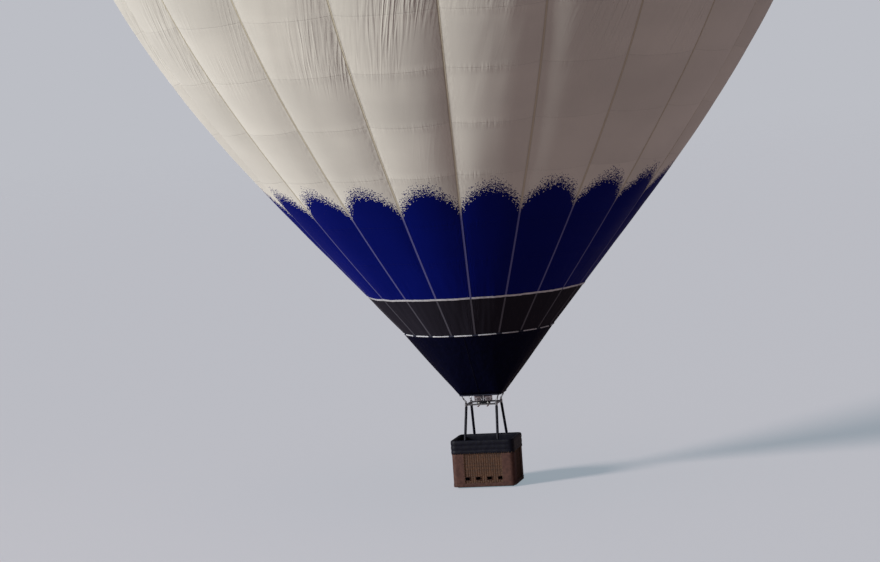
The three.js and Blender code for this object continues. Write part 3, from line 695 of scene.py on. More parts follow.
def rounded_box(size, centre, bevel=0.003, segments=2):
    work = bmesh.new()
    bmesh.ops.create_cube(work, size=1)
    bmesh.ops.scale(work, vec=size, verts=work.verts)
    bmesh.ops.bevel(work, geom=work.edges[:], offset=bevel, segments=segments, profile=0.5, affect="EDGES")
    work.verts.index_update()
    points = [vert.co + Vector(centre) for vert in work.verts]
    faces = [tuple(vert.index for vert in face.verts) for face in work.faces]
    work.free()
    return points, faces


def eye_plate(radius, hole, wall, stem, sides=32):
    """A flat eye round a hole, with a square stem towards -Y, lying across Z."""
    outline = []
    for x, y in circle(1, sides):
        reach = radius if y >= 0 else min(radius / max(abs(x), 1e-9), stem / max(abs(y), 1e-9))
        outline.append((x * reach, y * reach))
    soft = wall * 0.18
    top = wall / 2
    levels = ((-top, soft), (soft - top, 0), (top - soft, 0), (top, soft))
    layers = [(circle(hole, sides), level, 1 + cut / hole) for level, cut in levels]
    layers += [(outline, level, 1 - cut / radius) for level, cut in reversed(levels)]
    points = [(x * scale, y * scale, level) for line, level, scale in layers for x, y in line]
    return points, grid_faces(len(layers), sides, wrap_rows=True, wrap_columns=True)


def smooth(value, low, high):
    share = min(max((value - low) / (high - low), 0), 1)
    return share * share * (3 - 2 * share)


# The envelope's curve, walked from the mouth to the crown in short steps
def walk_curve():
    radius = (MOUTH - CONE_APEX) * math.tan(CONE_HALF_ANGLE)
    height = MOUTH
    lean = CONE_HALF_ANGLE
    points = []
    while radius > 0:
        points.append((radius, height, lean))
        bend = CURVE_FACTOR * radius * (height - MOUTH)
        radius += math.sin(lean) * CURVE_STEP
        height += math.cos(lean) * CURVE_STEP
        lean -= bend * CURVE_STEP
    return points


def step_at_height(height):
    return next(step for step, point in enumerate(curve) if point[1] >= height)


def step_at_radius(radius):
    return next(step for step in range(equator, len(curve)) if curve[step][0] <= radius)


curve = walk_curve()
equator = max(range(len(curve)), key=lambda step: curve[step][0])
mouth_radius = curve[0][0]
crown_height = curve[-1][1]
vent_edge = step_at_radius(VENT_RADIUS)


def across_gore(turn):
    """0 in the middle of a gore, 1 at the load tapes on its two sides."""
    return 2 * abs(turn - round(turn))


def valley(step, turn):
    """How far a gore dips from the round curve towards the load tapes on its two sides."""
    radius, height, _ = curve[step]
    fade = smooth(radius, CROWN_SEAM, CROWN_SEAM + 3.5) if step > equator else 1
    return GORE_DIP * radius * smooth(height, MOUTH, MOUTH + 6) * fade * across_gore(turn) ** GORE_ROUNDNESS


def lift(step, turn, panel_share):
    """How far the cloth stands off the curve: puffed panels, billows, upright pleats and gathers.

    The last number of each noise call, and what a gore's number is multiplied by, only keep patterns apart.
    """
    radius, height, _ = curve[step]
    gore = round(turn)
    along = step * CURVE_STEP
    metres = (turn - gore) * GORE_ANGLE * radius
    puff = PUFF * math.sin(math.pi * panel_share)
    billow = BILLOW * noise.noise((turn * 0.9, along / 2.6, 3.1))
    patch = smooth(noise.noise((turn * 0.8, along / 2.4, 9.7)), -0.3, 0.3)
    tall = smooth(height, *PLEATS_SET_IN)
    pleat_place = (metres - LEAN * along) / PLEAT_WIDTH + 31 * gore
    pleat = PLEAT * patch * tall * noise.noise((pleat_place, along / 1.6, 5.3))
    low = 1 - smooth(height, MOUTH + 0.6, GATHERS_END)
    gather = GATHER * low * noise.noise((metres / GATHER_WIDTH + 17 * gore, along / 0.8, 1.9))
    return (puff + billow + pleat + gather) * (1 - across_gore(turn) ** 2)


def cloth_out(step, turn, panel_share=0.0):
    return lift(step, turn, panel_share) - valley(step, turn)


def cloth_point(step, turn, out):
    radius, height, lean = curve[step]
    return polar(radius + out * math.cos(lean), turn * GORE_ANGLE, height - out * math.sin(lean))


def cloth_faces(rows, thick):
    """Outer and inner face of cloth, from rows of step, turn and distance off the curve."""
    return [[[cloth_point(step, turn, out - depth) for step, turn, out in row] for row in rows]
            for depth in (0, thick)]


def cloth_values(cells):
    """What the finish reads on both faces, from cells of turn, step, radius and distance to a seam."""
    rows = [(across_gore(turn), GORE_ANGLE / 2 * radius, step * CURVE_STEP, seam, turn)
            for turn, step, radius, seam in cells * 2]
    return dict(zip(CLOTH_VALUES, zip(*rows)))


def envelope_band(node_name, finish, start, end):
    """One band of cloth between two seams, cut into sectors along its load tapes."""
    length = (end - start) * CURVE_STEP
    panels = max(1, round(length / PANEL_HEIGHT))
    rows = []
    for k in range(panels * ROWS_IN_PANEL + 1):
        inside = k % ROWS_IN_PANEL / ROWS_IN_PANEL
        step = round(start + (end - start) * (k / ROWS_IN_PANEL) / panels)
        rows.append((step, inside, min(inside, 1 - inside) * length / panels))
    gores = GORES // SECTORS
    for sector in range(SECTORS):
        turns = [0.5 + sector * gores + k / STEPS_IN_GORE for k in range(gores * STEPS_IN_GORE + 1)]
        outer, inner = cloth_faces([[(step, turn, cloth_out(step, turn, inside)) for turn in turns]
                                    for step, inside, _ in rows], CLOTH)
        shape = Shape(shell(outer, inner))
        panel_tones = [[draw.random() for _ in range(gores)] for _ in range(panels)]
        tones = [panel_tones[k // ROWS_IN_PANEL][j // STEPS_IN_GORE]
                 for k in range(len(rows) - 1) for j in range(len(turns) - 1)]
        shape.tones[:2 * len(tones)] = tones * 2
        cells = [(turn, step, curve[step][0], seam) for step, _, seam in rows for turn in turns]
        piece = make_piece(f"{node_name}_cloth_{sector + 1}", shape, finish, [node_name],
                           values=cloth_values(cells), crease=60)


# Node, finish and step of the upper seam of each band, from the mouth up
BANDS = (
    ("heat_resistant_band", "heat_cloth", step_at_height(HEAT_TOP)),
    ("blue_band", "blue_cloth", step_at_height(7.07)),
    ("scallop_band", "wavy_cloth", step_at_height(8.3)),
    ("lower_white_band", "white_cloth", step_at_height(12.25)),
    ("equator_band", "white_cloth", step_at_height(21.1)),
    ("upper_white_band", "white_cloth", step_at_height(25.25)),
    ("crown_band", "white_cloth", vent_edge),
)


def add_envelope():
    start = 0
    for node_name, finish, end in BANDS:
        envelope_band(node_name, finish, start, end)
        start = end


def tape_strip(steps, turn, width, thick, out_at):
    """A flat tape along a gore's seam. out_at says how far off the curve its under side lies."""
    rows = []
    for step in steps:
        half = width / 2 / (GORE_ANGLE * curve[step][0])
        places = [turn + half * side for side in (-1, -0.5, 0, 0.5, 1)]
        rows.append([(step, place, out_at(step, place) + thick) for place in places])
    return shell(*cloth_faces(rows, thick))


def add_load_tapes():
    rows = 130
    steps = [round(vent_edge * k / rows) for k in range(rows + 1)]
    tapes = [tape_strip(steps, gore + 0.5, TAPE_WIDTH, 0.003, lambda step, turn: 0.001 - valley(step, turn))
             for gore in range(GORES)]
    make_piece("load_tapes", tapes, "load_tape")
    seam = step_at_height(HEAT_TOP)
    turns = [k / STEPS_IN_GORE for k in range(GORES * STEPS_IN_GORE)]
    # The pale tape sewn over the heat-resistant band's upper seam
    rows = [[(step, turn, cloth_out(step, turn) + 0.004) for turn in turns]
            for step in (seam - 3, seam, seam + 3)]
    make_piece("heat_band_tape", [shell(*cloth_faces(rows, 0.003), wrap_columns=True)], "webbing_white")


def add_mouth_hem():
    centre = mouth_radius - CLOTH - 0.001
    level = MOUTH - SEAT - HEM_DEPTH / 2
    count = 240
    loop = [polar(centre, k * TURN / count, level) for k in range(count)]
    hem = sweep(loop, rounded_section(HEM_WIDTH, HEM_DEPTH, 0.009), closed=True)
    make_piece("mouth_hem_band", [hem], "webbing_white", ["mouth_hem"])
    half_reach = HEM_SLEEVE_HALF / centre
    section = rounded_section(HEM_WIDTH + HEM_SLEEVE_MORE, HEM_DEPTH + HEM_SLEEVE_MORE, 0.012)
    sleeves = []
    for gore in range(GORES):
        arc = [polar(centre, (gore + 0.5) * GORE_ANGLE + half_reach * (k / 5 - 1), level) for k in range(11)]
        sleeves.append(sweep(arc, section, scales=[0.9] + [1.0] * 9 + [0.9]))
    make_piece("mouth_sleeves", sleeves, "webbing_navy")


# Crown: edge ring, vent tapes with their hub, crown ring and parachute valve
def sunk(step, depth):
    """Radius and height at a depth under the curve."""
    radius, height, lean = curve[step]
    return radius - depth * math.cos(lean), height + depth * math.sin(lean)


def add_crown():
    lean = curve[vent_edge][2]
    ring = []
    for a, b in rounded_section(VENT_EDGE_WIDTH - 2 * SEAT, VENT_EDGE_DEPTH, 0.008):
        radius, height = sunk(vent_edge, VENT_EDGE_DEPTH / 2 - b)
        up = VENT_EDGE_WIDTH / 2 + a
        ring.append((radius + up * math.sin(lean), height + up * math.cos(lean)))
    first, last = vent_edge + 3, step_at_radius(HUB_RADIUS * 0.78)
    steps = [round(first + (last - first) * k / 16) for k in range(17)]
    hub = [(HUB_HOLE, -0.010), (HUB_HOLE + 0.004, -0.012), (HUB_RADIUS - 0.004, -0.012), (HUB_RADIUS, -0.006),
           (HUB_RADIUS - 0.004, 0), (HUB_HOLE + 0.004, 0.002), (HUB_HOLE, 0)]
    parts = [turned(ring, 160, closed=True)]
    parts += [tape_strip(steps, gore + 0.5, VENT_TAPE_WIDTH, 0.004, lambda step, turn: -0.004)
              for gore in range(GORES)]
    parts.append(hoop(hub, 0, crown_height, 80))
    make_piece("vent_webbing", parts, "webbing_white", ["vent_tapes"])
    bar = CROWN_BAR * math.cos(math.pi / 6)
    ring = hoop(circle(bar, 16), CROWN_RING, crown_height + 0.002 + SEAT + bar, 96)
    make_piece("crown_ring_steel", [ring], "steel", ["crown_ring"])


def add_parachute_valve():
    """A cloth disc seated under the edge ring, one seam to each gore, its rim softly gathered."""
    rim = vent_edge - round(VALVE_OVERLAP / CURVE_STEP)
    depth = VENT_EDGE_DEPTH + SEAT
    rows = 26
    turns = [k / 8 for k in range(GORES * 8)]
    faces = [], []
    cells = []
    for k in range(rows + 1):
        step = round(rim + (len(curve) - 1 - rim) * k / rows)
        radius = max(sunk(step, depth)[0], 0.02)
        ruffles = [0.004 * (1 - k / rows) ** 2 * (1 + math.sin(2 * TURN * turn)) for turn in turns]
        for face, more in zip(faces, (0, CLOTH)):
            face.append([polar(radius, turn * GORE_ANGLE, sunk(step, depth + ruffle + more)[1])
                         for turn, ruffle in zip(turns, ruffles)])
        cells += [(turn, step, radius, 0.5) for turn in turns]
    piece = make_piece("parachute_cloth", [shell(*faces, wrap_columns=True)], "valve_cloth",
                       ["parachute_valve"], "parachute", cloth_values(cells), crease=60)
    across = 2 * curve[rim][0]
    math.pi * across ** 2 / 4
    edge = rounded_section(0.024, 0.012, 0.004)
    band = hoop(edge, curve[rim][0] - 0.012, sunk(rim, depth)[1] - 0.006, 160)
    make_piece("parachute_edge", [band], "webbing_navy", body="parachute")


# Rigging between the load frame and the mouth
def slack_in(hole):
    """From the middle of a hole to the middle of the link's bar that lies in it."""
    return hole * math.cos(math.pi / 10) - LINK_BAR - SEAT


def pull_of(sign_x, sign_y):
    """Where a corner's link, eye and wires lie: they lean outward towards their tapes."""
    lug = Vector((sign_x * FRAME_X, sign_y * FRAME_Y, LUG_HEIGHT))
    reach = mouth_radius * math.cos(math.pi / 4)
    direction = (Vector((sign_x * reach, sign_y * reach, MOUTH)) - lug).normalized()
    sideways = Vector((-direction.y, direction.x, 0)).normalized()
    link_reach = LINK_LENGTH / 2 - LINK_HALF_WIDTH + LINK_HALF_WIDTH * math.cos(math.pi / 12)
    link_at = lug + direction * (slack_in(LUG_HOLE) + link_reach)
    eye_at = link_at + direction * (link_reach + slack_in(EYE_HOLE))
    return lug, direction, sideways, link_at, eye_at, eye_at + direction * FERRULE_LENGTH


def plate_along(plate, origin, up, side):
    """Turns a plate drawn flat so that its Y follows up and its Z goes sideways."""
    turn = Matrix((up.cross(side), up, side)).transposed()
    return moved(plate, Matrix.Translation(origin) @ turn.to_4x4())


def add_rigging():
    straight = LINK_LENGTH / 2 - LINK_HALF_WIDTH
    for number, sign_x, sign_y in CORNERS:
        _, direction, sideways, link_at, eye_at, fan_at = pull_of(sign_x, sign_y)
        fan = [plate_along(eye_plate(EYE_RADIUS, EYE_HOLE, EYE_WALL, 0.024), eye_at, -direction, sideways),
               rod(eye_at + direction * 0.016, fan_at + direction * 0.006, FERRULE_RADIUS, 20, 0.003)]
        for k in range(GORES // 4):
            x, y, _ = polar(mouth_radius, GORE_ANGLE * (k + 0.5), MOUTH)
            end = Vector((sign_x * x, sign_y * y, MOUTH))
            pull = (end - fan_at).normalized()
            stop = end - pull * (HEM_DEPTH / 2 / pull.z + 0.006)
            fan += [rod(fan_at, stop, WIRE_RADIUS, 8, 0.001),
                    rod(*(stop - pull * below for below in CRIMP), 2 * WIRE_RADIUS, 12, 0.002)]
        make_piece(f"wire_fan_{number}", fan, "steel", [f"flying_wires_{number}"])
        ring = [link_at + sideways * a + direction * (b + (straight if b > 0 else -straight))
                for a, b in circle(LINK_HALF_WIDTH, 40)]
        gate = link_at + sideways * LINK_HALF_WIDTH
        link = [sweep(ring, circle(LINK_BAR * 0.97, 12), closed=True, hint=sideways.cross(direction)),
                rod(gate - direction * 0.018, gate + direction * 0.012, 0.009, 16, 0.0015)]
        make_piece(f"screw_link_{number}", link, "steel", [f"carabiner_{number}"])


def skirt_columns():
    """Places round the skirt: a corner's arc, then the straight side to the next corner."""
    columns = []
    for quarter, (sx, sy) in enumerate(QUARTERS):
        columns += [((quarter + k / SKIRT_ARC_STEPS) * QUARTER_TURN, sx, sy) for k in range(SKIRT_ARC_STEPS)]
        next_x, next_y = QUARTERS[(quarter + 1) % 4]
        angle = (quarter + 1) * QUARTER_TURN
        for k in range(SKIRT_SIDE_STEPS):
            share = k / SKIRT_SIDE_STEPS
            columns.append((angle, sx + (next_x - sx) * share, sy + (next_y - sy) * share))
    return columns


def skirt_point(column, height, out):
    angle, share_x, share_y = column
    fan_at = pull_of(1, 1)[5]
    rise = (height - fan_at.z) / (MOUTH - fan_at.z)
    centre = (share_x * (1 - rise) * fan_at.x, share_y * (1 - rise) * fan_at.y)
    return polar(rise * mouth_radius + out, angle, height, centre)


def add_skirt():
    columns = skirt_columns()
    bottom = SKIRT_HEM + SEAT
    top = MOUTH - HEM_DEPTH - 2 * SEAT
    rows = 18
    outer, inner = [], []
    for row in range(rows + 1):
        share = row / rows
        height = bottom + (top - bottom) * share
        bell = math.sin(math.pi * share) ** 0.6
        outs = []
        for column in columns:
            x, y, _ = skirt_point(column, height, 0)
            fold = noise.noise((x * 5 / (0.4 + share), y * 5 / (0.4 + share), share * 1.2))
            outs.append(SKIRT_CLEAR - SKIRT_TUCK + SKIRT_FOLD * bell * fold + SKIRT_BELLY * bell)
        for face, depth in ((outer, 0), (inner, CLOTH)):
            face.append([skirt_point(column, height, out - depth) for column, out in zip(columns, outs)])
    piece = make_piece("skirt_panels", [shell(outer, inner, wrap_columns=True)], "skirt_cloth",
                       [f"skirt_panel_{number}" for number in (1, 2, 3, 4)], crease=60)
    seams = []
    for quarter in range(4):
        column = quarter * len(columns) // 4 + SKIRT_ARC_STEPS + SKIRT_SIDE_STEPS // 2
        outward = Vector(polar(1, (quarter + 1) * QUARTER_TURN, 0))
        path = [Vector(row[column]) + outward * 0.0005 for row in outer]
        seams.append(sweep(path, rounded_section(0.003, 0.016, 0.001), hint=outward))
    make_piece("skirt_seams", seams, "webbing_navy")
    middle = SKIRT_CLEAR + 0.006 - SKIRT_HEM_WIDTH / 2
    loop = [skirt_point(column, SKIRT_HEM - SKIRT_HEM_DEPTH / 2, middle) for column in columns]
    hem = sweep(loop, rounded_section(SKIRT_HEM_WIDTH, SKIRT_HEM_DEPTH, 0.008), closed=True)
    make_piece("skirt_hem_tube", [hem], "webbing_navy", ["skirt_hem"])


# Load frame, uprights and gimbal
def add_load_frame():
    parts = []
    radius, depth = 0.021, 0.019
    sleeve = turned([(PIN_BORE, 0), (radius - BOSS_EDGE, 0), (radius, BOSS_EDGE), (radius, depth),
                     (PIN_BORE, depth)], 28, closed=True)
    for side in (-1, 1):
        x, y = side * FRAME_X, side * FRAME_Y
        parts += [rod((-FRAME_X, y, FRAME_HEIGHT), (FRAME_X, y, FRAME_HEIGHT), FRAME_BAR, 24),
                  rod((x, -FRAME_Y, FRAME_HEIGHT), (x, FRAME_Y, FRAME_HEIGHT), FRAME_BAR, 24),
                  aimed(sleeve, (side * (FRAME_X - BOSS_LENGTH), 0, FRAME_HEIGHT), "Y", side)]
    for _, sign_x, sign_y in CORNERS:
        lug, _, sideways, *_ = pull_of(sign_x, sign_y)
        x, y = sign_x * FRAME_X, sign_y * FRAME_Y
        parts.append(turned(chamfered(SOCKET_RADIUS, SOCKET_BOTTOM, SOCKET_TOP, SOCKET_EDGE), 28, (x, y, 0)))
        for along in (Vector((-sign_x, 0, 0)), Vector((0, -sign_y, 0))):
            start = Vector((x, y, FRAME_HEIGHT)) + along * (SOCKET_RADIUS - SOCKET_EDGE)
            parts.append(rod(start, start + along * 0.008, FRAME_BAR + 0.004, 24, 0.0035))
        plate = eye_plate(LUG_RADIUS, LUG_HOLE, LUG_WALL, LUG_HEIGHT - SOCKET_TOP + 0.002)
        parts.append(plate_along(plate, lug, Vector((0, 0, 1)), sideways))
        outward = Vector((sign_x, sign_y, 0)).normalized()
        for height in (SOCKET_BOTTOM + 0.018, SOCKET_TOP - 0.018):
            start = Vector((x, y, height)) + outward * (SOCKET_RADIUS - 0.001)
            parts.append(hexagon(start, outward, 0.008, 0.007))
    make_piece("load_frame_tubes", parts, "steel", ["load_frame"])


def add_upright_covers():
    """Padded sleeves round the uprights, closed by a seam on the inner side."""
    bottom, top = RIM + SEAT, SOCKET_BOTTOM - SEAT
    rows, sides = 34, 28
    for number, sign_x, sign_y in CORNERS:
        points = []
        for row in range(rows + 1):
            share = row / rows
            end = 1 - 0.16 * (1 - smooth(min(share, 1 - share), 0, 0.02))
            x = sign_x * (COVER_FOOT[0] + (FRAME_X - COVER_FOOT[0]) * share)
            y = sign_y * (COVER_FOOT[1] + (FRAME_Y - COVER_FOOT[1]) * share)
            height = bottom + (top - bottom) * share
            for side, (a, b) in enumerate(circle(1, sides)):
                crease = 0.0016 * noise.noise((number * 3 + 1.2 * a, b, height * 14))
                seam = 0.004 if side == 0 else 0
                reach = (COVER_RADIUS - 0.0012 - seam + crease) * end
                points.append((x - sign_x * reach * a, y - sign_y * reach * b, height))
        piece = make_piece(f"upright_sleeve_{number}", [capped(points, rows + 1, sides)], "navy_leather",
                           [f"upright_cover_{number}"], crease=50)


def add_gimbal():
    loop = [(x, y, FRAME_HEIGHT) for x, y in rounded_section(2 * GIMBAL_X, 2 * GIMBAL_Y, GIMBAL_CORNER, 14)]
    parts = [sweep(loop, circle(GIMBAL_BAR * 0.98, 18), closed=True)]
    pin_end = FRAME_X - FRAME_BAR / 2 - SEAT
    half = BOSS_LENGTH / 2
    boss = turned(chamfered(BOSS_RADIUS, -half, half, BOSS_EDGE, PIN_BORE), 28, closed=True)
    for side in (-1, 1):
        ring, end, low, high = [(side * x, 0, FRAME_HEIGHT)
                                for x in (GIMBAL_X, pin_end, GIMBAL_X - 0.016, GIMBAL_X + 0.008)]
        parts += [rod(ring, end, PIN_RADIUS, 20), rod(low, high, 0.018, 24, 0.002),
                  aimed(boss, (0, side * GIMBAL_Y, FRAME_HEIGHT), "X")]
    make_piece("gimbal_tube", parts, "steel", ["gimbal_ring"], "gimbal")


# Burner: valve block, cans, jets, coils and blast valves
def add_burner_block():
    middle = (BLOCK_BOTTOM + BLOCK_TOP) / 2
    arm_end = GIMBAL_Y - BOSS_LENGTH / 2 - 0.008
    arm_length = arm_end - BLOCK_Y + 0.005
    pin_end = GIMBAL_Y + BOSS_LENGTH / 2 + 0.002
    parts = [rounded_box((2 * BLOCK_X, 2 * BLOCK_Y, BLOCK_TOP - BLOCK_BOTTOM), (0, 0, middle), 0.007, 3)]
    for side in (-1, 1):
        arm, start, end = [(0, side * y, FRAME_HEIGHT)
                           for y in (arm_end - arm_length / 2, arm_end - 0.005, pin_end)]
        parts += [rounded_box((0.064, arm_length, 0.036), arm, 0.005, 3), rod(start, end, PIN_RADIUS, 20)]
        parts += [hexagon((x, side * (BLOCK_Y - 0.001), middle + 0.022), (0, side, 0), 0.007, 0.006)
                  for x in (-0.15, -0.04, 0.04, 0.15)]
    parts += [hexagon((x, y, BLOCK_TOP - 0.001), (0, 0, 1), 0.006, 0.006)
              for x in (-0.155, -0.085, 0.085, 0.155) for y in (-0.042, 0.042)]
    make_piece("burner_manifold", parts, "dark_steel", ["burner_block"], "burner")


def add_burner_fittings():
    middle = (BLOCK_BOTTOM + BLOCK_TOP) / 2
    y = BLOCK_Y - 0.002
    stem_height = middle - 0.006
    stems = [x * 0.45 for x in BURNER_X]
    knob = turned([(0, 0), (0.014, 0), (0.016, 0.003), (0.016, 0.014), (0.013, 0.018), (0, 0.018)], 12)
    case = turned([(0, 0), (0.024, 0), (0.027, 0.003), (0.027, 0.016), (0.025, 0.018), (0.0235, 0.015),
                   (0, 0.015)], 36)
    face = turned([(0, 0.0155), (0.022, 0.0155), (0.022, 0.0165), (0, 0.0165)], 36)
    fittings = []
    for x, stem_x in zip(BURNER_X, stems):
        fittings += [hexagon((x, y, middle), (0, 1, 0), 0.019, 0.014),
                     rod((x, y, middle), (x, y + 0.04, middle), 0.011, 20),
                     hexagon((x, y + 0.036, middle), (0, 1, 0), 0.016, 0.012),
                     rod((stem_x, -y, stem_height), (stem_x, -y - 0.018, stem_height), 0.009, 20)]
    make_piece("burner_fittings", fittings, "brass", body="burner")
    knobs, dials = Shape(), Shape()
    for x, stem_x in zip(BURNER_X, stems):
        knobs.add(aimed(knob, (stem_x, -BLOCK_Y - 0.016, stem_height), "X"))
        knobs.add(aimed(case, (x, -y, middle), "X"))
        dials.add(aimed(face, (x, -y, middle), "X"))
    make_piece("burner_knobs", knobs, "black_rubber", body="burner")
    make_piece("gauge_faces", dials, "dial", body="burner")


def curved_wall(centre, radius, thick, heights, angles):
    """A curved strip of a round wall."""
    return shell(*([[polar(reach, angle, height, centre) for angle in angles] for height in heights]
                   for reach in (radius, radius - thick)))


def add_burner_cans():
    # Air slots run round each can's foot from low to high
    low, high = CAN_BOTTOM + 0.03, CAN_BOTTOM + 0.075
    slots = 24
    nozzles = 12
    nozzle_ring = 0.04
    inner = CAN_RADIUS - CAN_WALL
    floor_top = CAN_BOTTOM + 0.004
    base = floor_top + SEAT
    foot = [(0, BLOCK_TOP + SEAT), (0.042, BLOCK_TOP + SEAT), (0.042, CAN_BOTTOM - 0.003),
            (0.045, CAN_BOTTOM), (inner, CAN_BOTTOM), (CAN_RADIUS, CAN_BOTTOM + 0.003), (CAN_RADIUS, low),
            (inner, low), (inner, floor_top), (0, floor_top)]
    wall = [(CAN_RADIUS, high)]
    for bead in (CAN_BOTTOM + 0.12, CAN_TOP - 0.085):
        wall += [(CAN_RADIUS, bead - 0.006), (CAN_RADIUS + 0.003, bead), (CAN_RADIUS, bead + 0.006)]
    wall += [(CAN_RADIUS, CAN_TOP - 0.008), (CAN_RADIUS + 0.003, CAN_TOP - 0.004),
             (CAN_RADIUS + 0.001, CAN_TOP), (inner, CAN_TOP), (inner, high)]
    jet_ring = [(0, 0), (0.014, 0), (0.014, 0.04), (0.05, 0.046), (0.052, 0.05), (0.052, 0.06), (0.05, 0.062),
                (0.024, 0.062), (0.02, 0.074), (0, 0.074)]
    coil_foot = 0.04
    rise = CAN_TOP - 0.022 - base - coil_foot
    steps = COIL_TURNS * 28
    for number, x in enumerate(BURNER_X, 1):
        centre = (x, 0, 0)
        can = [turned(foot, 72, centre)]
        for k in range(slots):
            angles = [(k + j / 4) * TURN / slots for j in range(3)]
            can.append(curved_wall(centre, CAN_RADIUS, CAN_WALL, (low, high), angles))
        can.append(turned(wall, 72, centre, closed=True))
        make_piece(f"can_{number}", can, "burner_can", [f"burner_can_{number}"], "burner")
        jets = [turned(jet_ring, 40, (x, 0, base))]
        for k in range(nozzles):
            angle = k * TURN / nozzles
            ends = (polar(nozzle_ring, angle, base + level, centre) for level in (0.061, 0.069))
            jets.append(rod(*ends, 0.003, 8, 0.0006))
        make_piece(f"jets_{number}", jets, "brass", [f"jet_ring_{number}"], "burner")
        path = [(x + COIL_RADIUS, 0, base + coil_foot * k / 4) for k in range(4)]
        for k in range(steps + 1):
            share = k / steps
            height = base + coil_foot + share * rise
            path.append(polar(COIL_RADIUS, share * COIL_TURNS * TURN, height, centre))
        coil = sweep(path, circle(COIL_BAR * 0.95, 10), hint=(0.3, 0.2, 1))
        make_piece(f"coil_{number}", [coil], "dark_steel", [f"burner_coil_{number}"], "burner")


def add_blast_valves():
    top = BLOCK_BOTTOM - SEAT
    axle = top - 0.044
    for number, x in enumerate(BURNER_X, 1):
        body = [rounded_box((0.044, 0.052, 0.03), (x, -0.02, top - 0.015), 0.004),
                rod((x, -0.02, top - 0.026), (x, -0.02, axle), 0.015, 24),
                rod((x - 0.017, -0.03, axle), (x + 0.017, -0.03, axle), 0.004, 12)]
        make_piece(f"blast_valve_body_{number}", body, "brass", body="burner")
        lever = [rounded_box((0.003, 0.13, 0.013), (x + side, -0.075, axle), 0.001)
                 for side in (-0.011, 0.011)]
        lever.append(rounded_box((0.034, 0.05, 0.022), (x, -0.148, axle), 0.006, 3))
        make_piece(f"blast_lever_{number}", lever, "red_plastic", [f"blast_valve_{number}"], "burner")


# Basket: its outline is four sides, each ending in a rounded corner
WALL_MIDDLE = BASKET_CORNER - WALL / 2
CORE_X = BASKET_X - BASKET_CORNER
CORE_Y = BASKET_Y - BASKET_CORNER
QUARTER = QUARTER_TURN * WALL_MIDDLE
OUTLINE = 4 * (CORE_X + CORE_Y + QUARTER)


def outline_at(distance):
    """Point and outward direction on the wall's middle line, from the middle of the front towards +X."""
    rest = (distance + CORE_X) % OUTLINE
    side = 0
    straight = 2 * CORE_X
    while side < 3 and rest > straight + QUARTER:
        rest -= straight + QUARTER
        side += 1
        straight = 2 * (CORE_Y if side % 2 else CORE_X)
    angle = (side - 1) * QUARTER_TURN + max(0, rest - straight) / WALL_MIDDLE
    out = Vector(polar(1, angle, 0))
    _, sign_x, sign_y = CORNERS[(side + 1) % 4]
    corner = Vector((sign_x * CORE_X, sign_y * CORE_Y, 0))
    along = Vector((-out.y, out.x, 0))
    return corner + out * WALL_MIDDLE - along * max(0, straight - rest), out


def basket_point(distance, out, height):
    """out is counted from the wall's outer face."""
    place, outward = outline_at(distance)
    place = place + outward * (WALL / 2 + out)
    return (place.x, place.y, height)


def hole_spans():
    """Distances along the outline where each foot hole starts and ends."""
    middles = [x % OUTLINE for x in HOLE_X] + [OUTLINE / 2 - x for x in HOLE_X]
    return sorted((middle - HOLE_HALF[0], middle + HOLE_HALF[0]) for middle in middles)


def strand_runs(height):
    """Places along one strand: one closed run, or several where foot holes break it."""
    places = [k * OUTLINE / STAKES / 2 for k in range(2 * STAKES)]
    if abs(height - HOLE_HEIGHT) > HOLE_HALF[1] + STRAND_PITCH / 2:
        return [places], True
    spans = hole_spans()
    runs = []
    for (_, end), (start, _) in zip(spans, spans[1:] + spans[:1]):
        start += OUTLINE if start < end else 0
        inside = [place + lap for lap in (0, OUTLINE) for place in places
                  if end + 0.004 < place + lap < start - 0.004]
        runs.append([end, *inside, start])
    return runs, False


def core_wall(distances, heights, closed):
    """A stretch of the dense middle of the weave."""
    return shell(*([[basket_point(distance, out - WALL / 2, height) for distance in distances]
                    for height in heights] for out in (CORE_HALF, -CORE_HALF)), wrap_columns=closed)


def add_wicker():
    spacing = OUTLINE / STAKES
    bottom, top = SKID_HEIGHT + 0.006, RIM - 0.03
    section = [(STRAND_HALF[0] * a, STRAND_HALF[1] * b) for a, b in circle(1, 5)]
    strands = []
    for row in range(int((top - bottom) / STRAND_PITCH)):
        height = bottom + (row + 0.5) * STRAND_PITCH
        runs, closed = strand_runs(height)
        for run in runs:
            swings = [STRAND_SWING * math.cos(math.pi * (distance / spacing + row)) for distance in run]
            path = [basket_point(distance, swing - WALL / 2, height) for distance, swing in zip(run, swings)]
            strands.append(sweep(path, section, closed=closed))
    make_piece("wicker_weave", strands, "wicker", ["basket_wall"], crease=80)
    foot, head = SKID_HEIGHT + 0.002, RIM - 0.024
    hole_low, hole_high = HOLE_HEIGHT - HOLE_HALF[1], HOLE_HEIGHT + HOLE_HALF[1]
    stakes = []
    for k in range(STAKES):
        distance = k * spacing
        broken = any(low - STAKE_RADIUS < distance + lap < high + STAKE_RADIUS
                     for low, high in hole_spans() for lap in (0, OUTLINE))
        for ends in ((foot, hole_low), (hole_high, head)) if broken else ((foot, head),):
            start, end = (basket_point(distance, -WALL / 2, height) for height in ends)
            stakes.append(rod(start, end, STAKE_RADIUS, 8))
    make_piece("wicker_stakes", stakes, "stake")
    # The dense middle, so packed that only the foot holes let light through
    around = [OUTLINE * k / (4 * STAKES) for k in range(4 * STAKES)]
    core = [core_wall(around, (bottom, hole_low), True), core_wall(around, (hole_high, top), True)]
    core += [core_wall(run, (hole_low, hole_high), False) for run in strand_runs(HOLE_HEIGHT)[0]]
    make_piece("wicker_core", core, "stake", crease=50)


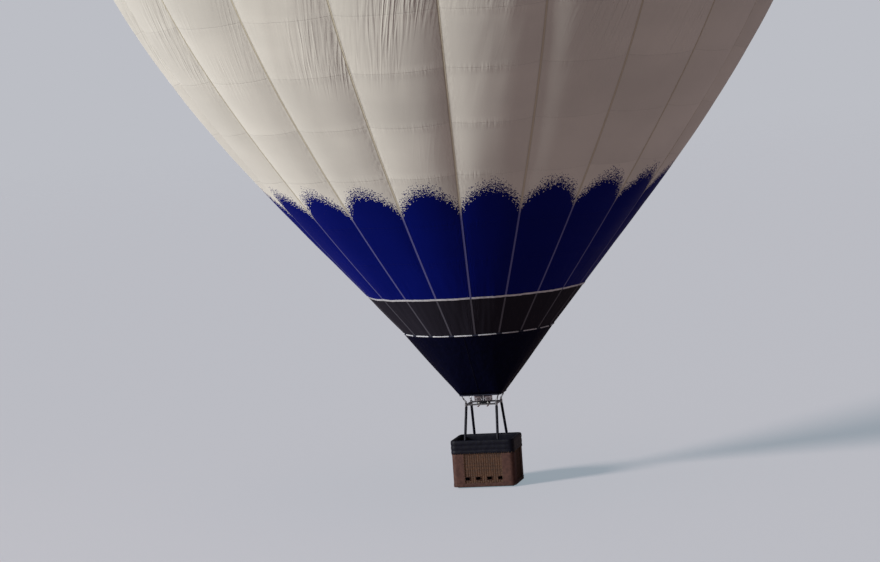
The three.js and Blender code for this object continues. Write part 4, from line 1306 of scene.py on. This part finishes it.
def add_hole_bindings():
    """Hide sewn round each foot hole, lining it through the wall."""
    outline = rounded_section(2 * HOLE_HALF[0] + 0.004, 2 * HOLE_HALF[1] + 0.004, 0.02, 6)
    section = rounded_section(0.009, WALL + 0.012, 0.004)
    bindings = []
    for side in (-1, 1):
        for x in HOLE_X:
            loop = [(x + a, side * (BASKET_Y - WALL / 2), HOLE_HEIGHT + b) for a, b in outline]
            bindings.append(sweep(loop, section, closed=True, hint=(0, 1, 0)))
    make_piece("foot_hole_bindings", bindings, "hide", crease=50)


def around_basket(profile, count, ripple=0.0):
    """A closed profile of out and height carried round the basket."""
    points = []
    for k in range(count):
        distance = k * OUTLINE / count
        for j, (out, height) in enumerate(profile):
            push = ripple * noise.noise((distance * 9, height * 7, j * 0.2))
            points.append(basket_point(distance, out + push, height))
    return points, grid_faces(count, len(profile), wrap_rows=True, wrap_columns=True)


def stitch(distance, height, radius, places, way=1):
    """A thread through places given along the wall, out from it and up."""
    path = [basket_point(distance + way * along, out, height + up) for along, out, up in places]
    return sweep(path, circle(radius, 6))


def add_rim_pad():
    seams = (0.985, 1.12)
    low = PAD_BOTTOM + 0.008
    profile = [(0.002, PAD_BOTTOM + 0.002), (0.012, PAD_BOTTOM - 0.002), (0.019, low)]
    for high in (*seams, RIM - 0.02):
        for share, out in ((0.2, 0.0225), (0.5, 0.0245), (0.8, 0.0225)):
            profile.append((out, low + (high - low) * share))
        if high in seams:
            profile.append((0.0165, high))
        low = high
    profile += [(0.019, RIM - 0.018), (0.008, RIM - 0.002), (-0.006, RIM + 0.003), (-0.02, RIM + 0.004),
                (-0.034, RIM + 0.003), (-0.048, RIM - 0.002), (-0.059, RIM - 0.016), (-0.063, RIM - 0.06),
                (-0.064, 1.13), (-0.063, 1.06), (-0.059, 1.024), (-0.05, 1.018), (-0.043, 1.024),
                (-0.0405, 1.06), (-0.0405, RIM - 0.03), (-0.02, RIM - 0.02 + SEAT), (SEAT, RIM - 0.03),
                (SEAT, 1.0)]
    piece = make_piece("rim_padding", [around_basket(profile, 220, 0.004)], "navy_leather",
                       ["rim_pad"], crease=60)
    places = ((-0.010, 0.002, -0.022), (-0.006, 0.012, -0.012), (0.002, 0.024, 0.010), (0.008, 0.021, 0.028))
    lacing = [stitch((k + 0.5) * OUTLINE / STAKES, PAD_BOTTOM, 0.0026, places) for k in range(STAKES)]
    make_piece("rim_lacing", lacing, "lacing")


def leather_patch(middle, half, low, high, thick):
    """Hide wrapped round a stretch of the outline, thinner at its edges."""
    outer, inner = [], []
    columns, rows = 44, 26
    distances = [middle + half * (2 * column / columns - 1) for column in range(columns + 1)]
    for row in range(rows + 1):
        height = low + (high - low) * row / rows
        outs = []
        for distance in distances:
            border = min(half - abs(distance - middle), height - low, high - height)
            pucker = 0.0012 * noise.noise((distance * 14, height * 11, 4.0))
            outs.append(SEAT + thick * (0.45 + 0.55 * smooth(border, 0, 0.006)) + pucker)
        outer.append([basket_point(distance, out, height) for distance, out in zip(distances, outs)])
        inner.append([basket_point(distance, SEAT, height) for distance in distances])
    return shell(outer, inner)


def add_leathers():
    low, high = BAND_TOP + SEAT, PAD_BOTTOM - SEAT
    half = QUARTER / 2 + LEATHER_REACH
    middles = [CORE_X + QUARTER / 2, CORE_X + 1.5 * QUARTER + 2 * CORE_Y]
    middles += [middle + OUTLINE / 2 for middle in middles]
    stitches = 17
    places = ((-0.020, 0.0045, -0.007), (-0.012, 0.0092, -0.003), (0, 0.0078, 0.003), (0.010, 0.0010, 0.008))
    lacing = Shape()
    for number, middle in zip((2, 3, 4, 1), middles):
        make_piece(f"corner_hide_{number}", [leather_patch(middle, half, low, high, 0.006)], "hide",
                   [f"corner_leather_{number}"], crease=50)
        for side in (-1, 1):
            for k in range(stitches):
                height = low + (high - low) * (k + 0.5) / stitches
                lacing.add(stitch(middle + side * half, height, 0.0024, places, side))
    make_piece("corner_lacing", lacing, "lacing")


def add_base():
    top, bottom = BAND_TOP, SKID_HEIGHT + SEAT
    profile = [(SEAT, bottom), (0.009, bottom), (0.0122, bottom + 0.004), (0.0122, 0.066), (0.0104, 0.069),
               (0.0122, 0.072), (0.0122, 0.106), (0.0104, 0.109), (0.0122, 0.112), (0.0118, top - 0.004),
               (0.008, top), (SEAT, top)]
    make_piece("base_hide", [around_basket(profile, 200, 0.0008)], "hide", ["base_band"], crease=50)
    sole_top = bottom + 0.006
    sole = [(SEAT - WALL, bottom), (-SEAT, bottom), (-SEAT, sole_top), (SEAT - WALL, sole_top)]
    make_piece("wall_sole", [around_basket(sole, 200)], "hardwood", crease=50)
    count = 44
    rivets = []
    for k in range(count):
        start, end = (basket_point((k + 0.5) * OUTLINE / count, out, 0.09) for out in (0.0112, 0.0147))
        rivets.append(rod(start, end, 0.006, 12, 0.0022))
    make_piece("base_rivets", rivets, "brass")
    for number, y in enumerate(SKID_ROWS, 1):
        runner = rounded_box((SKID_LENGTH, SKID_WIDTH, SKID_HEIGHT), (0, y, SKID_HEIGHT / 2), 0.006, 3)
        make_piece(f"runner_{number}", [runner], "hardwood", [f"skid_{number}"])
    head = [(0, 0), (0.012, 0), (0.012, 0.002), (0.006, 0.005), (0, 0.0056)]
    bolts = [turned(head, 16, (x, y, BOLT_BOTTOM)) for y in SKID_ROWS for x in BOLTS_X]
    make_piece("floor_bolts", bolts, "steel")


# Gas cylinders: profiles of radius and rise, the jacket's over the cylinder's foot, the others' over its top
JACKET = ((0.118, 0.002), (0.135, 0.02), (0.146, 0.06), (0.149, 0.12), (0.149, 0.21), (0.145, 0.225),
          (0.149, 0.24), (0.1495, 0.4), (0.149, 0.535), (0.145, 0.55), (0.149, 0.565), (0.148, 0.72),
          (0.14, 0.765), (0.122, 0.788), (0.112, 0.792), (0.106, 0.786))
DOME = ((0, -0.016), (0.11, -0.016), (0.108, -0.008), (0.07, -0.001), (0, 0))
COLLAR_RING = ((0.096, 0.035), (0.1, 0.035), (0.1, 0.066), (0.102, 0.068), (0.098, 0.07), (0.094, 0.068),
               (0.096, 0.066))
VALVE_BODY = ((0, -0.003), (0.02, -0.003), (0.022, 0), (0.022, 0.012), (0.014, 0.016), (0.014, 0.044),
              (0, 0.044))


def jacket_on(centre):
    """A quilted jacket: upright channels in its wide part, closed at both ends."""
    sides = 60
    points = []
    for radius, rise in JACKET:
        for k in range(sides):
            channel = 0.003 if k % 5 == 0 and radius > 0.14 else 0
            points.append(polar(radius - channel, k * TURN / sides, CYLINDER_BOTTOM + rise, centre))
    return capped(points, len(JACKET), sides)


def add_cylinders():
    top = CYLINDER_TOP
    hub = top + WHEEL_RISE
    wall_heights = (top - 0.01, top + COLLAR_RING[0][1])
    for number, sign_x, sign_y in CORNERS:
        centre = (sign_x * CYLINDER_PLACE[0], sign_y * CYLINDER_PLACE[1], top)
        piece = make_piece(f"cylinder_jacket_{number}", [jacket_on(centre)], "jacket",
                           [f"gas_cylinder_{number}"], crease=50)
        steel = [turned(DOME, 40, centre)]
        for k in range(3):
            angles = [k * TURN / 3 + j * 0.13 for j in range(9)]
            steel.append(curved_wall(centre, COLLAR_RADIUS, COLLAR_WALL, wall_heights, angles))
        steel.append(turned(COLLAR_RING, 48, centre, closed=True))
        make_piece(f"cylinder_collar_{number}", steel, "steel")
        outlet = Vector(centre) + Vector((0, 0, 0.026))
        toward = Vector((-sign_x, 0, 0))
        valve = [turned(VALVE_BODY, 24, centre), rod(outlet, outlet + toward * 0.05, 0.010, 20),
                 hexagon(outlet + toward * 0.044, toward, 0.0125, 0.018)]
        make_piece(f"cylinder_valve_{number}", valve, "brass")
        axle, low, high = ((*centre[:2], level) for level in (hub, top + 0.04, top + 0.062))
        wheel = [hoop(circle(0.0048, 10), WHEEL_RADIUS, hub, 32, centre)]
        wheel += [rod(axle, polar(WHEEL_RADIUS, k * TURN / 3, hub, centre), 0.0035, 8) for k in range(3)]
        wheel.append(rod(low, high, 0.008, 16))
        make_piece(f"cylinder_wheel_{number}", wheel, "red_plastic")
        strap = rounded_section(0.003, 0.038, 0.0012)
        straps = [hoop(strap, STRAP_RADIUS, CYLINDER_BOTTOM + rise, 60, centre) for rise in STRAP_RISES]
        make_piece(f"cylinder_straps_{number}", straps, "webbing_navy")


def dress_floor():
    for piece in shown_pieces():
        if piece.get("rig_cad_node") == "basket_floor" or piece.name == "basket_floor":
            piece.data.materials.clear()
            piece.data.materials.append(materials["plywood"])


# Studio
BACKDROP = colour(188, 190, 197)


def add_stage():
    """A pale, faintly glowing floor that fades into a backdrop of its own colour, with no horizon."""
    radius = 420
    glow_strength = 0.5
    sides = 96
    mesh = bpy.data.meshes.new("floor")
    corners = [polar(radius, k * TURN / sides, FLOOR) for k in range(sides)]
    mesh.from_pydata(corners, [], [tuple(range(sides))])
    look = Finish("floor", 0.9, gloss=0.1)
    look.put(look.shader, {"Base Color": colour(188, 169, 168)})
    shine = look.node("LightPath", output="Is Camera Ray") * glow_strength
    glow = look.node("Emission", {"Color": colour(189, 207, 219), "Strength": shine})
    lit = look.node("AddShader", {0: Value(look, look.shader.outputs[0]), 1: glow})
    spread = look.node("VectorMath", {0: look.place()}, "Value", operation="LENGTH")
    fade = look.ease(spread, 60.0, radius * 0.75)
    blend = look.node("MixShader", {0: fade, 1: lit, 2: look.node("BsdfTransparent")})
    look.put(look.tree.nodes["Material Output"], {"Surface": blend})
    mesh.materials.append(materials["floor"])
    new_object("floor", mesh)


def add_light(camera_turn):
    """A broad soft sun from the left of the camera, and a dim pale sky all round."""
    sun = bpy.data.lights.new("sun", "SUN")
    sun.energy = 3.35
    sun.angle = math.radians(14)
    sun.color = (0.985, 1.0, 0.985)
    lamp = new_object("sun", sun)
    lamp.rotation_mode = "QUATERNION"
    toward_sun = camera_turn @ Vector((-0.87, 0.25, 0.43)).normalized()
    lamp.rotation_quaternion = toward_sun.to_track_quat("Z", "Y")
    world = bpy.data.worlds.new("sky")
    world.use_nodes = True
    sky = Look(world.node_tree)
    fill = sky.tree.nodes["Background"]
    sky.put(fill, {"Color": (0.74, 0.68, 0.78, 1), "Strength": 0.16})
    backdrop = sky.node("Background", {"Color": BACKDROP, "Strength": 1.0})
    seen = sky.node("LightPath", output="Is Camera Ray")
    both = sky.node("MixShader", {0: seen, 1: Value(sky, fill.outputs[0]), 2: backdrop})
    sky.put(sky.tree.nodes["World Output"], {"Surface": both})
    bpy.context.scene.world = world
    bpy.context.scene.view_settings.view_transform = "Standard"


camera_turn = add_camera()
make_materials()
add_load_tapes()
add_envelope()
add_mouth_hem()
add_crown()
add_parachute_valve()
add_rigging()
add_skirt()
add_load_frame()
add_upright_covers()
add_gimbal()
add_burner_block()
add_burner_fittings()
add_burner_cans()
add_blast_valves()
add_wicker()
add_hole_bindings()
add_rim_pad()
add_leathers()
add_base()
add_cylinders()
dress_floor()
add_stage()
add_light(camera_turn)

bpy.context.view_layer.update()
